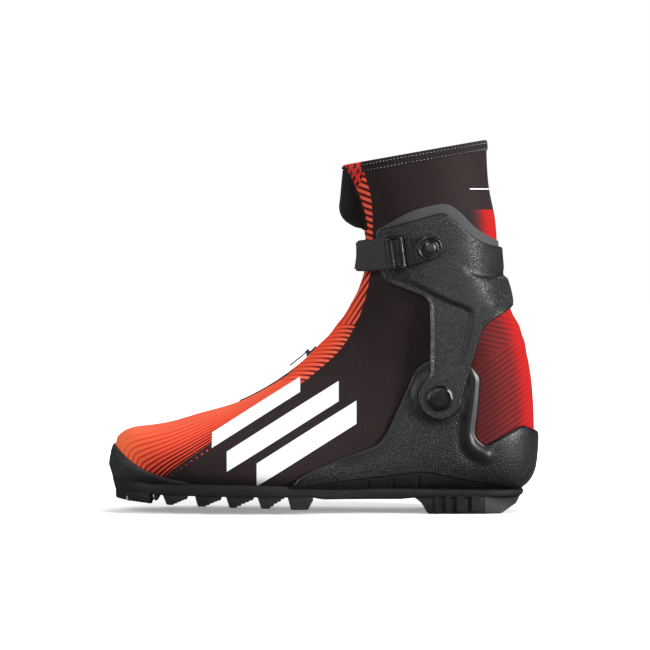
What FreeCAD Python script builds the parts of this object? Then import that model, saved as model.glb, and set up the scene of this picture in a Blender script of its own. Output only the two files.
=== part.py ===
import FreeCAD, Part
import functools
import math
import os

import Sketcher

from FreeCAD import Placement, Rotation, Vector

# A left cross country ski boot.  Toe towards -X, lateral side towards -Y, ground at Z = 0,
# origin on the ground below the middle of the heel tread.  Millimetres and degrees throughout.

SIZES = {
    # fabric upper and the layers inside it
    "fabric_thick": 1.8,
    "hem_depth": 7.0,
    "hem_rise": 0.5,
    "stiffener_outer": 2.0,
    "stiffener_inner": 3.1,
    "liner_outer": 3.4,
    "liner_inner": 6.4,
    "tongue_outer": 6.8,
    "tongue_inner": 9.0,
    "lace_depth": 4.4,
    "lace_diameter": 2.4,
    "lace_rows": 6,
    "board_bottom": 2.1,
    "board_top": 3.9,
    "shank_thick": 1.2,
    "shank_width": 28.0,
    "footbed_top": 8.5,
    # heel chassis and cuff
    "chassis_gap": 0.5,
    "chassis_outer": 2.8,
    "cuff_inner": 1.3,
    "pad_inner": 0.3,
    "pad_outer": 1.1,
    "cuff_outer": 3.6,
    "arm_inner": 41.0,
    "arm_outer": 44.2,
    "pivot_x": -18.0,
    "pivot_z": 78.5,
    "pad_radius": 15.0,
    "bush_diameter": 9.6,
    "rivet_diameter": 6.0,
    "rivet_head": 12.0,
    "rivet_head_thick": 1.0,
    "cap_diameter": 17.0,
    "cap_thick": 2.3,
    "running_gap": 0.1,
    # ankle strap
    "strap_x": -24.8,
    "strap_z": 179.4,
    "strap_fall": 8.0,
    "strap_width": 22.0,
    "strap_inner": 4.6,
    "strap_outer": 5.7,
    "tail_width": 20.0,
    "tail_inner": 5.9,
    "tail_outer": 7.0,
    "strap_rivet_shank": 4.0,
    "strap_rivet_head": 8.0,
    "strap_rivet_seat": 45.6,
    # sole and binding interface
    "sole_top": 21.5,
    "toe_bar_x": -228.0,
    "toe_bar_z": 9.6,
    "toe_bar_diameter": 4.0,
    "toe_bar_length": 30.0,
    "toe_bar_exposed": 22.0,
    "groove_width": 6.0,
    "groove_depth": 6.0,
    "groove_spacing": 26.0,
    # instep zip
    "zip_centre_x": -217.0,
    "zip_centre_z": 225.0,
    "zip_radius": 163.0,
    "zip_y": 5.0,
    "zip_width": 6.0,
    "zip_rest": -46.0,
    # flex of the shaft about the ankle pivot
    "shaft_inner": 52.0,
    "flex_front": 37.0,
    "flex_front_root": 57.0,
    "flex_rear": -40.0,
    "flex_rear_root": -50.0,
}

doc = FreeCAD.newDocument("cross_country_boot")
sheet = doc.addObject("Spreadsheet::Sheet", "sizes")
for row, (alias, value) in enumerate(SIZES.items(), start=1):
    sheet.set(f"A{row}", alias)
    sheet.set(f"B{row}", str(value))
    sheet.setAlias(f"B{row}", alias)
doc.recompute()


def size(alias):
    return float(sheet.get(alias))


PIVOT = (size("pivot_x"), size("pivot_z"))
STRAP = (size("strap_x"), size("strap_z"))
ZIP_CENTRE = (size("zip_centre_x"), size("zip_centre_z"))

# ---------------------------------------------------------------- foot form
# The upper is a fan of cross-sections.  Every section plane contains a line parallel to Y through
# FAN, above the toe.  The first section is the rim of the collar and the last one is the toe tip.

FAN = (-200.0, 214.0)
RIM_ANGLE = 10.1
TOE_ANGLE = -102.4
FAN_MEAN_RADIUS = 185.0
SECTION_POINTS = 28
SECTIONS = 24


def arc_points(centre, radius, first, last, count):
    points = []
    for i in range(count):
        a = math.radians(first + (last - first) * i / (count - 1))
        points.append((centre[0] + radius * math.cos(a), centre[1] + radius * math.sin(a)))
    return points


# Front edge of the side profile: shaft, instep arc, toe.
FRONT_EDGE = (
    [(-90.0, 252.0), (-83.2, 234.8), (-74.6, 216.2), (-70.4, 202.6), (-68.3, 190.0), (-67.0, 176.0), (-68.6, 163.0)]
    + arc_points(ZIP_CENTRE, size("zip_radius"), -30, -69, 6)
    + [(-180.0, 66.8), (-200.0, 61.0), (-217.0, 58.4), (-230.0, 55.8), (-237.3, 50.0), (-240.8, 39.0)]
)
# Rear and lower edge of the side profile: shaft, heel, sole line, toe.
REAR_EDGE = [
    (13.5, 275.0), (14.3, 252.3), (15.0, 235.0), (17.0, 215.0), (20.0, 200.0), (21.3, 187.0),
    (22.3, 172.0), (24.5, 157.0), (29.0, 143.0), (35.0, 131.0), (39.5, 118.0), (43.5, 99.0),
    (45.8, 82.0), (47.0, 65.0), (47.1, 50.0), (46.4, 36.0), (44.0, 26.0), (38.0, 19.0),
    (25.0, 15.4), (-10.0, 14.2), (-60.0, 13.8), (-110.0, 14.2), (-150.0, 15.0), (-190.0, 17.2),
    (-215.0, 19.3), (-229.0, 21.0), (-237.6, 25.5), (-240.8, 39.0),
]
# Fan angle: half width, place of the widest point between front (0) and rear (1) edge,
# roundness of the front half, roundness of the rear half, sideways shift.
STATIONS = [
    (16.0, 43.5, 0.50, 2.3, 2.2, 0.0),
    (10.0, 43.0, 0.50, 2.3, 2.2, 0.0),
    (2.0, 41.8, 0.50, 2.3, 2.2, 0.0),
    (-8.0, 40.3, 0.51, 2.3, 2.2, 0.0),
    (-16.0, 39.2, 0.53, 2.3, 2.2, 0.0),
    (-24.0, 38.2, 0.55, 2.3, 2.1, 0.0),
    (-32.0, 37.3, 0.58, 2.25, 2.1, 0.0),
    (-38.0, 36.6, 0.62, 2.2, 2.3, 0.0),
    (-44.0, 36.4, 0.66, 2.15, 2.7, 0.0),
    (-52.0, 37.5, 0.70, 2.1, 3.0, 0.0),
    (-60.0, 41.0, 0.73, 2.1, 3.1, -0.5),
    (-68.0, 45.5, 0.72, 2.1, 3.1, -1.0),
    (-76.0, 48.3, 0.69, 2.1, 3.1, -1.0),
    (-84.0, 47.8, 0.65, 2.1, 2.9, 0.0),
    (-90.0, 44.0, 0.62, 2.2, 2.7, 1.3),
    (-95.0, 38.2, 0.60, 2.2, 2.6, 2.6),
    (-99.0, 30.0, 0.58, 2.2, 2.4, 3.8),
    (-101.5, 20.5, 0.55, 2.1, 2.2, 4.5),
    (-102.96, 7.0, 0.50, 2.0, 2.0, 4.8),
]


def fan_profile(points):
    """Side profile as a table of (fan angle, distance from FAN)."""
    curve = Part.BSplineCurve()
    curve.interpolate([Vector(x, 0, z) for x, z in points])
    table = []
    steps = 500
    for i in range(steps + 1):
        share = i / steps
        p = curve.value(curve.FirstParameter * (1 - share) + curve.LastParameter * share)
        angle = math.degrees(math.atan2(p.z - FAN[1], p.x - FAN[0]))
        if not table or angle < table[-1][0]:
            table.append((angle, math.hypot(p.x - FAN[0], p.z - FAN[1])))
    return table


FRONT_RADII = fan_profile(FRONT_EDGE)
REAR_RADII = fan_profile(REAR_EDGE)


def radius_at(table, angle):
    if angle >= table[0][0]:
        return table[0][1]
    if angle <= table[-1][0]:
        return table[-1][1]
    low, high = 0, len(table) - 1
    while high - low > 1:
        middle = (low + high) // 2
        if table[middle][0] >= angle:
            low = middle
        else:
            high = middle
    (a0, r0), (a1, r1) = table[low], table[high]
    return r0 + (r1 - r0) * (a0 - angle) / (a0 - a1)


def station_value(angle, column):
    """Smooth value of one column of STATIONS at a fan angle."""
    xs = [s[0] for s in STATIONS]
    ys = [s[column] for s in STATIONS]
    if angle >= xs[0]:
        return ys[0]
    if angle <= xs[-1]:
        return ys[-1]
    i = max(j for j in range(len(xs) - 1) if xs[j] >= angle)

    def slope(j):
        if j == 0 or j == len(xs) - 1:
            return 0.0
        before = (ys[j] - ys[j - 1]) / (xs[j] - xs[j - 1])
        after = (ys[j + 1] - ys[j]) / (xs[j + 1] - xs[j])
        if before * after <= 0:
            return 0.0
        return 2 * before * after / (before + after)

    span = xs[i + 1] - xs[i]
    t = (angle - xs[i]) / span
    return (
        (2 * t**3 - 3 * t**2 + 1) * ys[i]
        + (t**3 - 2 * t**2 + t) * slope(i) * span
        + (3 * t**2 - 2 * t**3) * ys[i + 1]
        + (t**3 - t**2) * slope(i + 1) * span
    )


@functools.lru_cache(maxsize=None)
def section_point(angle, turn, grow):
    """Point of the section at a fan angle; turn runs round it from the front edge by way of +Y."""
    front, rear = radius_at(FRONT_RADII, angle), radius_at(REAR_RADII, angle)
    half, widest, front_round, rear_round, shift = [station_value(angle, i) for i in range(1, 6)]

    def raw(phi):
        c, s = math.cos(phi), math.sin(phi)
        n = front_round if c >= 0 else rear_round
        q = abs(c) ** (2 / n)
        share = widest - widest * q if c >= 0 else widest + (1 - widest) * q
        return front + share * (rear - front), math.copysign(half * abs(s) ** (2 / n), s)

    r0, y0 = raw(turn - 0.001)
    r1, y1 = raw(turn + 0.001)
    r, y = raw(turn)
    length = math.hypot(r1 - r0, y1 - y0)
    r += grow * -(y1 - y0) / length
    y += grow * (r1 - r0) / length
    # near the toe the end plane itself moves out with the layer
    end = min(1.0, max(0.0, (-angle - 84.0) / 18.4))
    end = end * end * (3 - 2 * end)
    a = math.radians(angle) - grow / FAN_MEAN_RADIUS * end
    return Vector(FAN[0] + r * math.cos(a), y + shift, FAN[1] + r * math.sin(a))


def station_angles(first, last):
    """Section angles from first to last.  Those in between are the same for every layer, so that layers
    stay a constant distance apart."""
    between = []
    for i in range(SECTIONS):
        share = i / (SECTIONS - 1)
        between.append(RIM_ANGLE + (TOE_ANGLE - RIM_ANGLE) * (0.4 * share + 0.6 * math.sin(0.5 * math.pi * share)))
    return [first] + [a for a in between if last + 0.5 < a < first - 0.5] + [last]


def form(grow, first=RIM_ANGLE, last=TOE_ANGLE):
    """Closed solid following the foot, grown outwards (or inwards if negative)."""
    turns = [2 * math.pi * k / SECTION_POINTS for k in range(SECTION_POINTS)]
    around = [float(k) for k in range(SECTION_POINTS + 1)]
    rings = []
    along = [0.0]
    previous = None
    for angle in station_angles(first, last):
        points = [section_point(angle, turn, grow) for turn in turns]
        ring = Part.BSplineCurve()
        ring.interpolate(Points=points, PeriodicFlag=True, Parameters=around)
        rings.append(ring)
        ungrown = [section_point(angle, turn, 0.0) for turn in turns]
        if previous:
            steps = [p.distanceToPoint(q) for p, q in zip(ungrown, previous)]
            along.append(along[-1] + sum(steps) / len(steps))
        previous = ungrown
    columns = []
    for k in range(len(rings[0].getPoles())):
        column = Part.BSplineCurve()
        column.interpolate(Points=[ring.getPoles()[k] for ring in rings], Parameters=along)
        columns.append(column)
    poles = [[column.getPoles()[i] for column in columns] for i in range(len(columns[0].getPoles()))]
    surface = Part.BSplineSurface()
    surface.buildFromPolesMultsKnots(
        poles, columns[0].getMultiplicities(), rings[0].getMultiplicities(),
        columns[0].getKnots(), rings[0].getKnots(), False, True, 3, 3,
    )
    u0, u1, v0, v1 = surface.bounds()
    ends = [Part.Face(Part.Wire([surface.uIso(u).toShape()])) for u in (u0, u1)]
    shell = Part.Shell([surface.toShape()] + ends)
    shell.sewShape()
    solid = Part.Solid(shell)
    if solid.Volume < 0:
        solid.reverse()
    return solid


def layer(outer, inner, first=RIM_ANGLE, last=TOE_ANGLE):
    """Skin between two growths of the form, open at its first section."""
    return form(outer, first, last).cut(form(inner, first + 3.0, last))


# ---------------------------------------------------------------- helpers

WIDE = 90.0


def prism(outline, y0=-WIDE, y1=WIDE):
    """Side-view outline (x, z) carried from y0 to y1."""
    corners = [Vector(x, y0, z) for x, z in outline]
    return Part.Face(Part.makePolygon(corners + [corners[0]])).extrude(Vector(0, y1 - y0, 0))


def smooth_prism(points, closing, y0=-WIDE, y1=WIDE):
    """Like prism, with a smooth curve through points and straight lines through closing."""
    curve = Part.BSplineCurve()
    curve.interpolate([Vector(x, y0, z) for x, z in points])
    rest = [Vector(x, y0, z) for x, z in [points[-1]] + closing + [points[0]]]
    wire = Part.Wire([curve.toShape()] + Part.makePolygon(rest).Edges)
    return Part.Face(wire).extrude(Vector(0, y1 - y0, 0))


def ring_sector(centre, r0, r1, a0, a1, y0=-WIDE, y1=WIDE):
    """Sector of a ring round a line parallel to Y; angles run from +X towards +Z."""
    middle = 0.5 * (a0 + a1)

    def at(r, a):
        return Vector(centre[0] + r * math.cos(math.radians(a)), y0, centre[1] + r * math.sin(math.radians(a)))

    edges = [
        Part.Arc(at(r1, a0), at(r1, middle), at(r1, a1)).toShape(),
        Part.makeLine(at(r1, a1), at(r0, a1)),
        Part.Arc(at(r0, a1), at(r0, middle), at(r0, a0)).toShape(),
        Part.makeLine(at(r0, a0), at(r1, a0)),
    ]
    return Part.Face(Part.Wire(edges)).extrude(Vector(0, y1 - y0, 0))


def flex_sector(inner, rear, front):
    """Sector about the ankle pivot; angles run from straight up towards the toe."""
    return ring_sector(PIVOT, inner, 330.0, 90.0 + rear, 90.0 + front)


def rod(x, z, radius, y0, y1):
    return Part.makeCylinder(radius, abs(y1 - y0), Vector(x, min(y0, y1), z), Vector(0, 1, 0))


def add(label, shape):
    """Document object for a sub-part whose surface follows the foot form."""
    item = doc.addObject("Part::Feature", label)
    item.Shape = shape
    item.Label = label
    return item


NODES = []


def node(label, shape):
    solids = sorted(shape.Solids, key=lambda s: -s.Volume)
    kept = [s for s in solids if s.Volume > 0.5]
    NODES.append(add(label, kept[0] if len(kept) == 1 else Part.makeCompound(kept)))
    return NODES[-1].Shape


def both(lateral):
    """The solid and its mirror image on the medial side."""
    return lateral.fuse(lateral.mirror(Vector(0, 0, 0), Vector(0, 1, 0)))


# ---------------------------------------------------------------- fabric upper

outer_form = form(0.0)
fabric = outer_form.cut(form(-size("fabric_thick"), RIM_ANGLE + 3.0))
FRONT_LIMIT = size("flex_front")
FRONT_ROOT = size("flex_front_root")
REAR_LIMIT = size("flex_rear")
REAR_ROOT = size("flex_rear_root")
shaft_zone = flex_sector(size("shaft_inner"), REAR_LIMIT, FRONT_LIMIT)
kept_clear = flex_sector(size("shaft_inner") - 2.0, REAR_ROOT, FRONT_ROOT)

# Seam between the striped front panel and the dark sides, from the sole up to the rim.
FRONT_SEAM = [
    (-212.0, 5.0), (-205.0, 22.7), (-187.0, 38.1), (-167.0, 51.6), (-150.8, 62.3), (-118.6, 81.0), (-104.5, 92.5), (-83.9, 111.7),
    (-71.8, 133.4), (-64.9, 159.5), (-63.2, 194.0), (-63.9, 211.5), (-68.0, 260.0),
]
front_zone = smooth_prism(FRONT_SEAM, [(-270.0, 260.0), (-270.0, 5.0)])
REAR_SEAM = [(6.0, 40.0), (4.5, 80.0), (2.0, 130.0), (0.0, 180.0), (0.0, 262.0)]
rear_zone = smooth_prism(REAR_SEAM, [(70.0, 262.0), (70.0, 40.0)])
FRONT_SIDE = [(x + 0.2, z) for x, z in FRONT_SEAM]
behind_front = smooth_prism(FRONT_SIDE, [(90.0, 260.0), (90.0, 5.0)])
lateral_half = Part.makeBox(400, 100, 400, Vector(-300, -100.1, -50))
medial_half = Part.makeBox(400, 100, 400, Vector(-300, 0.1, -50))

zip_y = size("zip_y")
zip_half = 0.5 * size("zip_width")
zip_r = size("zip_radius")
zip_slot = ring_sector(ZIP_CENTRE, zip_r - 3, zip_r + 6, -69.2, -42.4, zip_y - zip_half - 0.2, zip_y + zip_half + 0.2)

foot_zone = prism([(-280.0, -20.0), (90.0, -20.0), (90.0, 300.0), (-280.0, 300.0)]).cut(kept_clear)
side_zone = behind_front.cut(rear_zone)
foot_sides = foot_zone.common(side_zone)
node("front_panel", fabric.common(foot_zone.common(front_zone).cut(zip_slot)))
node("heel_panel", fabric.common(foot_zone.common(rear_zone)))
node("side_panel_lateral", fabric.common(foot_sides.common(lateral_half)))
node("side_panel_medial", fabric.common(foot_sides.common(medial_half)))

# Soft wedges that fold or stretch when the shaft flexes.
gusset_skin = outer_form.cut(form(-5.5, RIM_ANGLE + 3.0, -98.0))
node("instep_gusset", gusset_skin.common(flex_sector(size("shaft_inner"), FRONT_LIMIT + 0.3, FRONT_ROOT - 0.3)))
node("achilles_gusset", gusset_skin.common(flex_sector(size("shaft_inner"), REAR_ROOT + 0.3, REAR_LIMIT - 0.3)))

# Shaft pieces, which ride with the cuff.
hem_drop = size("hem_depth")
rim = math.radians(RIM_ANGLE)
hem_line = [
    (FAN[0] - 60 * math.cos(rim) + hem_drop * math.sin(rim), FAN[1] - 60 * math.sin(rim) - hem_drop * math.cos(rim)),
    (FAN[0] + 330 * math.cos(rim) + hem_drop * math.sin(rim), FAN[1] + 330 * math.sin(rim) - hem_drop * math.cos(rim)),
]
hem_zone = prism(hem_line + [(150.0, 330.0), (-280.0, 330.0)])
node("collar_hem", layer(size("hem_rise"), -2.6).common(hem_zone).common(shaft_zone))
below_hem = shaft_zone.cut(hem_zone)
node("shaft_front_panel", fabric.common(below_hem.common(front_zone)))
node("shaft_rear_panel", fabric.common(below_hem.common(rear_zone)))
node("collar", fabric.common(below_hem.common(side_zone)))

# ---------------------------------------------------------------- lining, boards, tongue

def sole_band(low, high):
    """Slice of the inside between two heights above the sole line."""
    sole = [p for p in REAR_EDGE if p[1] < 30.0 and p[0] < 45.0]
    lower = [(x, z + low) for x, z in sole]
    upper = [(x, z + high) for x, z in reversed(sole)]
    return prism(lower + upper)


TONGUE_SIDE = [
    (-198.0, 46.0), (-160.0, 48.0), (-110.0, 76.0), (-66.0, 112.0), (-50.0, 150.0),
    (-46.0, 262.0), (-130.0, 262.0), (-130.0, 130.0), (-198.0, 90.0),
]
throat = prism(TONGUE_SIDE, -20.0, 20.0)
lace_room = prism(TONGUE_SIDE, -36.0, 36.0)
lining = layer(-size("liner_outer"), -size("liner_inner"), RIM_ANGLE, -99.0)
bed_line = [(x, z + size("footbed_top") + 0.2) for x, z in REAR_EDGE[16:]]
above_bed = prism([(70.0, bed_line[0][1])] + bed_line + [(-260.0, 300.0), (70.0, 300.0)])
liner = lining.common(above_bed.cut(kept_clear).cut(lace_room))
node("shaft_lining", lining.common(below_hem.cut(throat)))

stiffener = layer(-size("stiffener_outer"), -size("stiffener_inner"), RIM_ANGLE, TOE_ANGLE)
toe_zone = prism([(-270.0, 26.0), (-182.0, 26.0), (-190.0, 90.0), (-270.0, 90.0)])
heel_zone = smooth_prism([(-32.0, 26.0), (-12.0, 60.0), (20.0, 78.0), (70.0, 84.0)], [(70.0, 26.0)])
node("toe_puff", stiffener.common(toe_zone))
node("heel_counter", stiffener.common(heel_zone).cut(kept_clear))

inside = form(-size("fabric_thick") - 0.2)
board = node("lasting_board", inside.common(sole_band(size("board_bottom"), size("board_top"))).cut(stiffener))
bed = inside.common(sole_band(size("board_top") + 0.1, size("footbed_top"))).cut(stiffener)
shank_low = size("board_top") + 0.1
shank_half = 0.5 * size("shank_width")
shank_zone = prism([(-122.0, 0.0), (8.0, 0.0), (8.0, 60.0), (-122.0, 60.0)], -shank_half, shank_half)
shank = sole_band(shank_low, shank_low + size("shank_thick"))
node("shank_plate", shank.common(shank_zone))
roomy = prism([(-122.2, 0.0), (8.2, 0.0), (8.2, 60.0), (-122.2, 60.0)], -shank_half - 0.2, shank_half + 0.2)
node("footbed", bed.cut(sole_band(shank_low, shank_low + size("shank_thick") + 0.1).common(roomy)))

tongue_skin = layer(-size("tongue_outer"), -size("tongue_inner"), RIM_ANGLE, -92.0)
node("tongue", tongue_skin.common(lace_room.cut(kept_clear)))
node("shaft_tongue", tongue_skin.common(prism(TONGUE_SIDE, -25.0, 25.0).common(below_hem)))

# ---------------------------------------------------------------- laces

LACE_FIRST, LACE_LAST = -53.0, -82.0
LACE_TURN = 0.62


def lace_point(row, turn):
    angle = LACE_FIRST + (LACE_LAST - LACE_FIRST) * row / (size("lace_rows") - 1)
    return section_point(angle, turn, -size("lace_depth"))


# One cord runs to and fro across the tongue, held by a loop at each turn.
rows = int(size("lace_rows"))
lace_path = []
for row in range(rows):
    side = 1 if row % 2 == 0 else -1
    for share in (-1.0, -0.5, 0.0, 0.5, 1.0):
        lace_path.append(lace_point(row, side * LACE_TURN * share))
cord = Part.BSplineCurve()
cord.interpolate(lace_path)
cord_start = cord.value(cord.FirstParameter)
cord_radius = 0.5 * size("lace_diameter")
ring = Part.Wire([Part.makeCircle(cord_radius, cord_start, cord.tangent(cord.FirstParameter)[0])])
lace = Part.Wire([cord.toShape()]).makePipeShell([ring], True, True)
node("lace", lace)


def lace_loops(radius, margin):
    """One short loop at each turn of the cord, grown by a margin at both ends."""
    loops = []
    for row in range(rows - 1):
        side = 1 if row % 2 == 0 else -1
        turn_at = lace_point(row + 0.5, side * (LACE_TURN + 0.12))
        outwards = lace_point(row + 0.5, side * (LACE_TURN + 0.4)) - turn_at
        start = turn_at + outwards.normalize() * (2.0 - margin)
        loops.append(Part.makeCylinder(radius, 5.0 + 2 * margin, start, outwards))
    return loops


node("lace_loops", Part.makeCompound(lace_loops(2.0, 0.0)).cut(lace))
for room in lace_loops(2.3, 0.3):
    liner = liner.cut(room)
node("inner_liner", liner)

# ---------------------------------------------------------------- heel chassis

CHASSIS_FRONT = [(-119.0, 19.0), (-111.0, 27.3), (-60.3, 47.1), (-53.0, 56.4), (-34.0, 98.0), (-28.2, 103.6)]
CHASSIS_BACK = [(3.8, 100.0), (9.5, 92.5), (8.5, 77.2), (5.7, 52.7), (12.2, 46.2), (37.7, 59.4), (60.0, 52.0)]
CHASSIS_LOW = [(60.0, 14.0), (41.5, 16.0), (-28.2, 28.6)]
chassis_outline = prism(CHASSIS_FRONT + [(-25.4, 104.7), (-12.0, 104.0)] + CHASSIS_BACK + CHASSIS_LOW)
under_chassis = form(size("chassis_gap"))
chassis_skin = form(size("chassis_outer")).cut(under_chassis).common(chassis_outline)
pad_face = size("arm_inner") - 0.2
pad = rod(PIVOT[0], PIVOT[1], size("pad_radius"), -30.0, -pad_face)
rivet_hole = rod(PIVOT[0], PIVOT[1], 0.5 * size("rivet_diameter") + 0.1, -80.0, 80.0)
chassis = chassis_skin.fuse(both(pad)).cut(under_chassis).cut(rivet_hole)
node("heel_chassis", chassis)

# ---------------------------------------------------------------- cuff

CUFF_TOP = [(-57.5, 191.7), (-34.0, 198.2), (-17.0, 203.2), (-11.5, 200.8), (3.4, 186.6), (11.5, 182.2), (25.2, 179.0), (40.0, 178.2)]
CUFF_REAR = [(45.0, 143.5), (34.0, 142.0), (28.6, 138.0), (15.0, 129.7), (10.5, 124.4)]
CUFF_ARM = [(3.8, 102.4), (-4.0, 74.0), (-31.0, 74.0), (-24.7, 94.5), (-25.2, 141.4), (-28.2, 146.3)]
CUFF_LOW_FRONT = [(-36.3, 149.6), (-53.7, 156.5), (-57.1, 164.4)]
cuff_outline = CUFF_TOP + CUFF_REAR + CUFF_ARM + CUFF_LOW_FRONT
cuff_skin = layer(size("cuff_outer"), size("cuff_inner")).common(prism(cuff_outline))
cuff_skin = cuff_skin.common(prism([(-70.0, 122.0), (60.0, 122.0), (60.0, 220.0), (-70.0, 220.0)]))
arm_outline = [(14.0, 128.0), (10.5, 124.4), (3.8, 102.4), (-4.3, 74.0), (-31.0, 78.0), (-24.7, 94.5), (-25.2, 141.4)]
arm_plate = prism(arm_outline + [(-22.0, 160.0), (6.0, 160.0)], -size("arm_outer"), -size("arm_inner"))
# the outer face of the arm slopes in to meet the cuff above the ankle
arm_slope = [(size("arm_outer"), 60.0), (size("arm_outer"), 132.0), (41.8, 156.0), (40.0, 156.0), (40.0, 60.0)]
slope_face = Part.Face(Part.makePolygon([Vector(-60, -y, z) for y, z in arm_slope + arm_slope[:1]]))
arm_plate = arm_plate.common(slope_face.extrude(Vector(120, 0, 0)))
arm_end = rod(PIVOT[0], PIVOT[1], size("pad_radius"), -size("arm_outer"), -size("arm_inner"))
bush_hole = rod(PIVOT[0], PIVOT[1], 0.5 * size("bush_diameter") + size("running_gap"), -80.0, 80.0)
strap_hole = rod(STRAP[0], STRAP[1], 0.5 * size("strap_rivet_shank") + 0.1, -80.0, 80.0)
cuff_inside = form(size("cuff_inner"))
cuff = cuff_skin.fuse(both(arm_plate.fuse(arm_end))).cut(bush_hole).cut(strap_hole)
node("cuff_shell", cuff)

# Thin pad between cuff and shaft, showing beyond the upper edge of the cuff.
PAD_OUTLINE = [
    (-60.5, 191.0), (-39.2, 203.5), (-25.0, 207.6), (-16.5, 209.2), (-10.8, 207.8), (-4.7, 203.5), (5.5, 192.6),
    (21.7, 183.2), (40.0, 182.0),
    (40.0, 158.0), (22.0, 146.0), (-22.0, 146.0), (-40.0, 155.0), (-56.0, 164.0),
]
pad = layer(size("pad_outer"), size("pad_inner")).common(prism(PAD_OUTLINE)).common(shaft_zone)
node("cuff_pad", pad.cut(strap_hole))

# Protective flap over the front of the shaft below the rim.
FLAP = [
    (-83.4, 233.0), (-85.2, 222.0), (-86.9, 210.0), (-86.0, 205.0), (-83.8, 202.0), (-76.0, 195.3), (-71.3, 192.6),
    (-60.0, 192.6), (-62.0, 233.0),
]
flap_zone = prism(FLAP, -19.0, 19.0)
node("front_flap", form(15.5).cut(form(0.7, RIM_ANGLE + 3.0)).common(flap_zone))

# ---------------------------------------------------------------- strap
# Strap shapes are drawn level and then turned down towards the front about the strap rivet.

fall = size("strap_fall")


def strap_prism(x0, x1, z0, z1, y0=-WIDE, y1=WIDE):
    block = prism([(x0, z0), (x1, z0), (x1, z1), (x0, z1)], y0, y1)
    block.rotate(Vector(STRAP[0], 0, STRAP[1]), Vector(0, -1, 0), fall)
    return block


half_web = 0.5 * size("strap_width")
half_tail = 0.5 * size("tail_width")
mid = STRAP[1]
web = form(size("strap_outer")).cut(form(size("strap_inner"), RIM_ANGLE + 3.0))
web_front = web.common(strap_prism(-90.0, -50.0, mid - half_web, mid + half_web))
web_medial = web.common(strap_prism(-52.0, -44.0, mid - half_web, mid + half_web, 0.0, WIDE))
node("strap_band", web_front.fuse(web_medial))

# Each plate ends in a round boss about the strap rivet.
PLATE_HALF = 8.5
boss = rod(STRAP[0], STRAP[1], 10.0, -WIDE, WIDE)
plate_lateral = web.common(strap_prism(-35.0, STRAP[0], mid - PLATE_HALF, mid + PLATE_HALF).fuse(boss)).common(lateral_half)
plate_medial = web.common(strap_prism(-43.6, STRAP[0], mid - PLATE_HALF, mid + PLATE_HALF).fuse(boss)).common(medial_half)
rivet_seat = size("strap_rivet_seat") - 0.05
head_room = 0.5 * size("strap_rivet_head") + 0.2
seat_lateral = rod(STRAP[0], STRAP[1], head_room, -WIDE, -rivet_seat)
seat_medial = rod(STRAP[0], STRAP[1], head_room, rivet_seat, WIDE)
node("strap_anchor_lateral", plate_lateral.cut(strap_hole).cut(seat_lateral))
node("strap_anchor_medial", plate_medial.cut(strap_hole).cut(seat_medial))

# Bar of the ring: a point on the tail layer, above the side of the shaft.
BAR_X = -45.5
bar_angle = math.degrees(math.atan2(mid - 3.0 - FAN[1], BAR_X - FAN[0]))
bar_points = [section_point(bar_angle, -0.01 * k, size("tail_outer")) for k in range(60, 158)]
bar = min(bar_points, key=lambda p: abs(p.x - BAR_X))
tilt = Vector(math.sin(math.radians(fall)), 0, math.cos(math.radians(fall)))


def bar_cylinder(radius, half_length):
    return Part.makeCylinder(radius, 2 * half_length, bar - tilt * half_length, tilt)


half_ring = half_tail + 2.4
ring_outer = strap_prism(-45.5, -34.8, mid - half_ring, mid + half_ring, -WIDE, 0.0)
ring_window = strap_prism(-70.0, -38.0, mid - half_tail - 0.5, mid + half_tail + 0.5, -WIDE, 0.0)
ring_skin = form(size("tail_outer") + 1.2).cut(form(size("strap_inner"), RIM_ANGLE + 3.0))
ring_frame = ring_skin.common(ring_outer.cut(ring_window)).cut(plate_lateral)
node("strap_ring", ring_frame.fuse(bar_cylinder(1.2, half_ring - 0.1)))

tail_skin = form(size("tail_outer")).cut(form(size("tail_inner"), RIM_ANGLE + 3.0))
tail_web = tail_skin.common(strap_prism(-90.0, -47.0, mid - half_tail, mid + half_tail, -WIDE, 8.0))
sleeve = bar_cylinder(2.0, half_tail)
node("strap_tail", tail_web.fuse(sleeve).cut(bar_cylinder(1.35, 20.0)).cut(form(size("strap_outer") + 0.1)))

# ---------------------------------------------------------------- sole

SOLE_HALF_WIDTHS = [
    (-239.0, 6.0, 4.5), (-234.0, 17.0, 4.2), (-222.0, 27.0, 3.5), (-205.0, 35.0, 2.5), (-180.0, 41.0, 1.0),
    (-155.0, 43.5, 0.0), (-130.0, 42.0, -1.0), (-105.0, 38.0, -0.8), (-80.0, 34.0, -0.4), (-50.0, 32.5, 0.0),
    (-20.0, 33.5, 0.0), (5.0, 33.5, 0.0), (25.0, 28.0, 0.0), (36.0, 18.0, 0.0),
]
TOE_END = Vector(-241.0, 4.6, 0.0)
HEEL_END = Vector(39.5, 0.0, 0.0)


def sole_plan(inset=0.0):
    """Plan outline of the sole, raised into a block."""
    lateral = [Vector(x, shift - half + inset, -5) for x, half, shift in SOLE_HALF_WIDTHS]
    medial = [Vector(x, shift + half - inset, -5) for x, half, shift in reversed(SOLE_HALF_WIDTHS)]
    heel = HEEL_END + Vector(-inset, 0, -5)
    toe = TOE_END + Vector(inset, 0, -5)
    curve = Part.BSplineCurve()
    curve.interpolate(Points=lateral + [heel] + medial + [toe], PeriodicFlag=True)
    return Part.Face(Part.Wire([curve.toShape()])).extrude(Vector(0, 0, 60))


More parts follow.
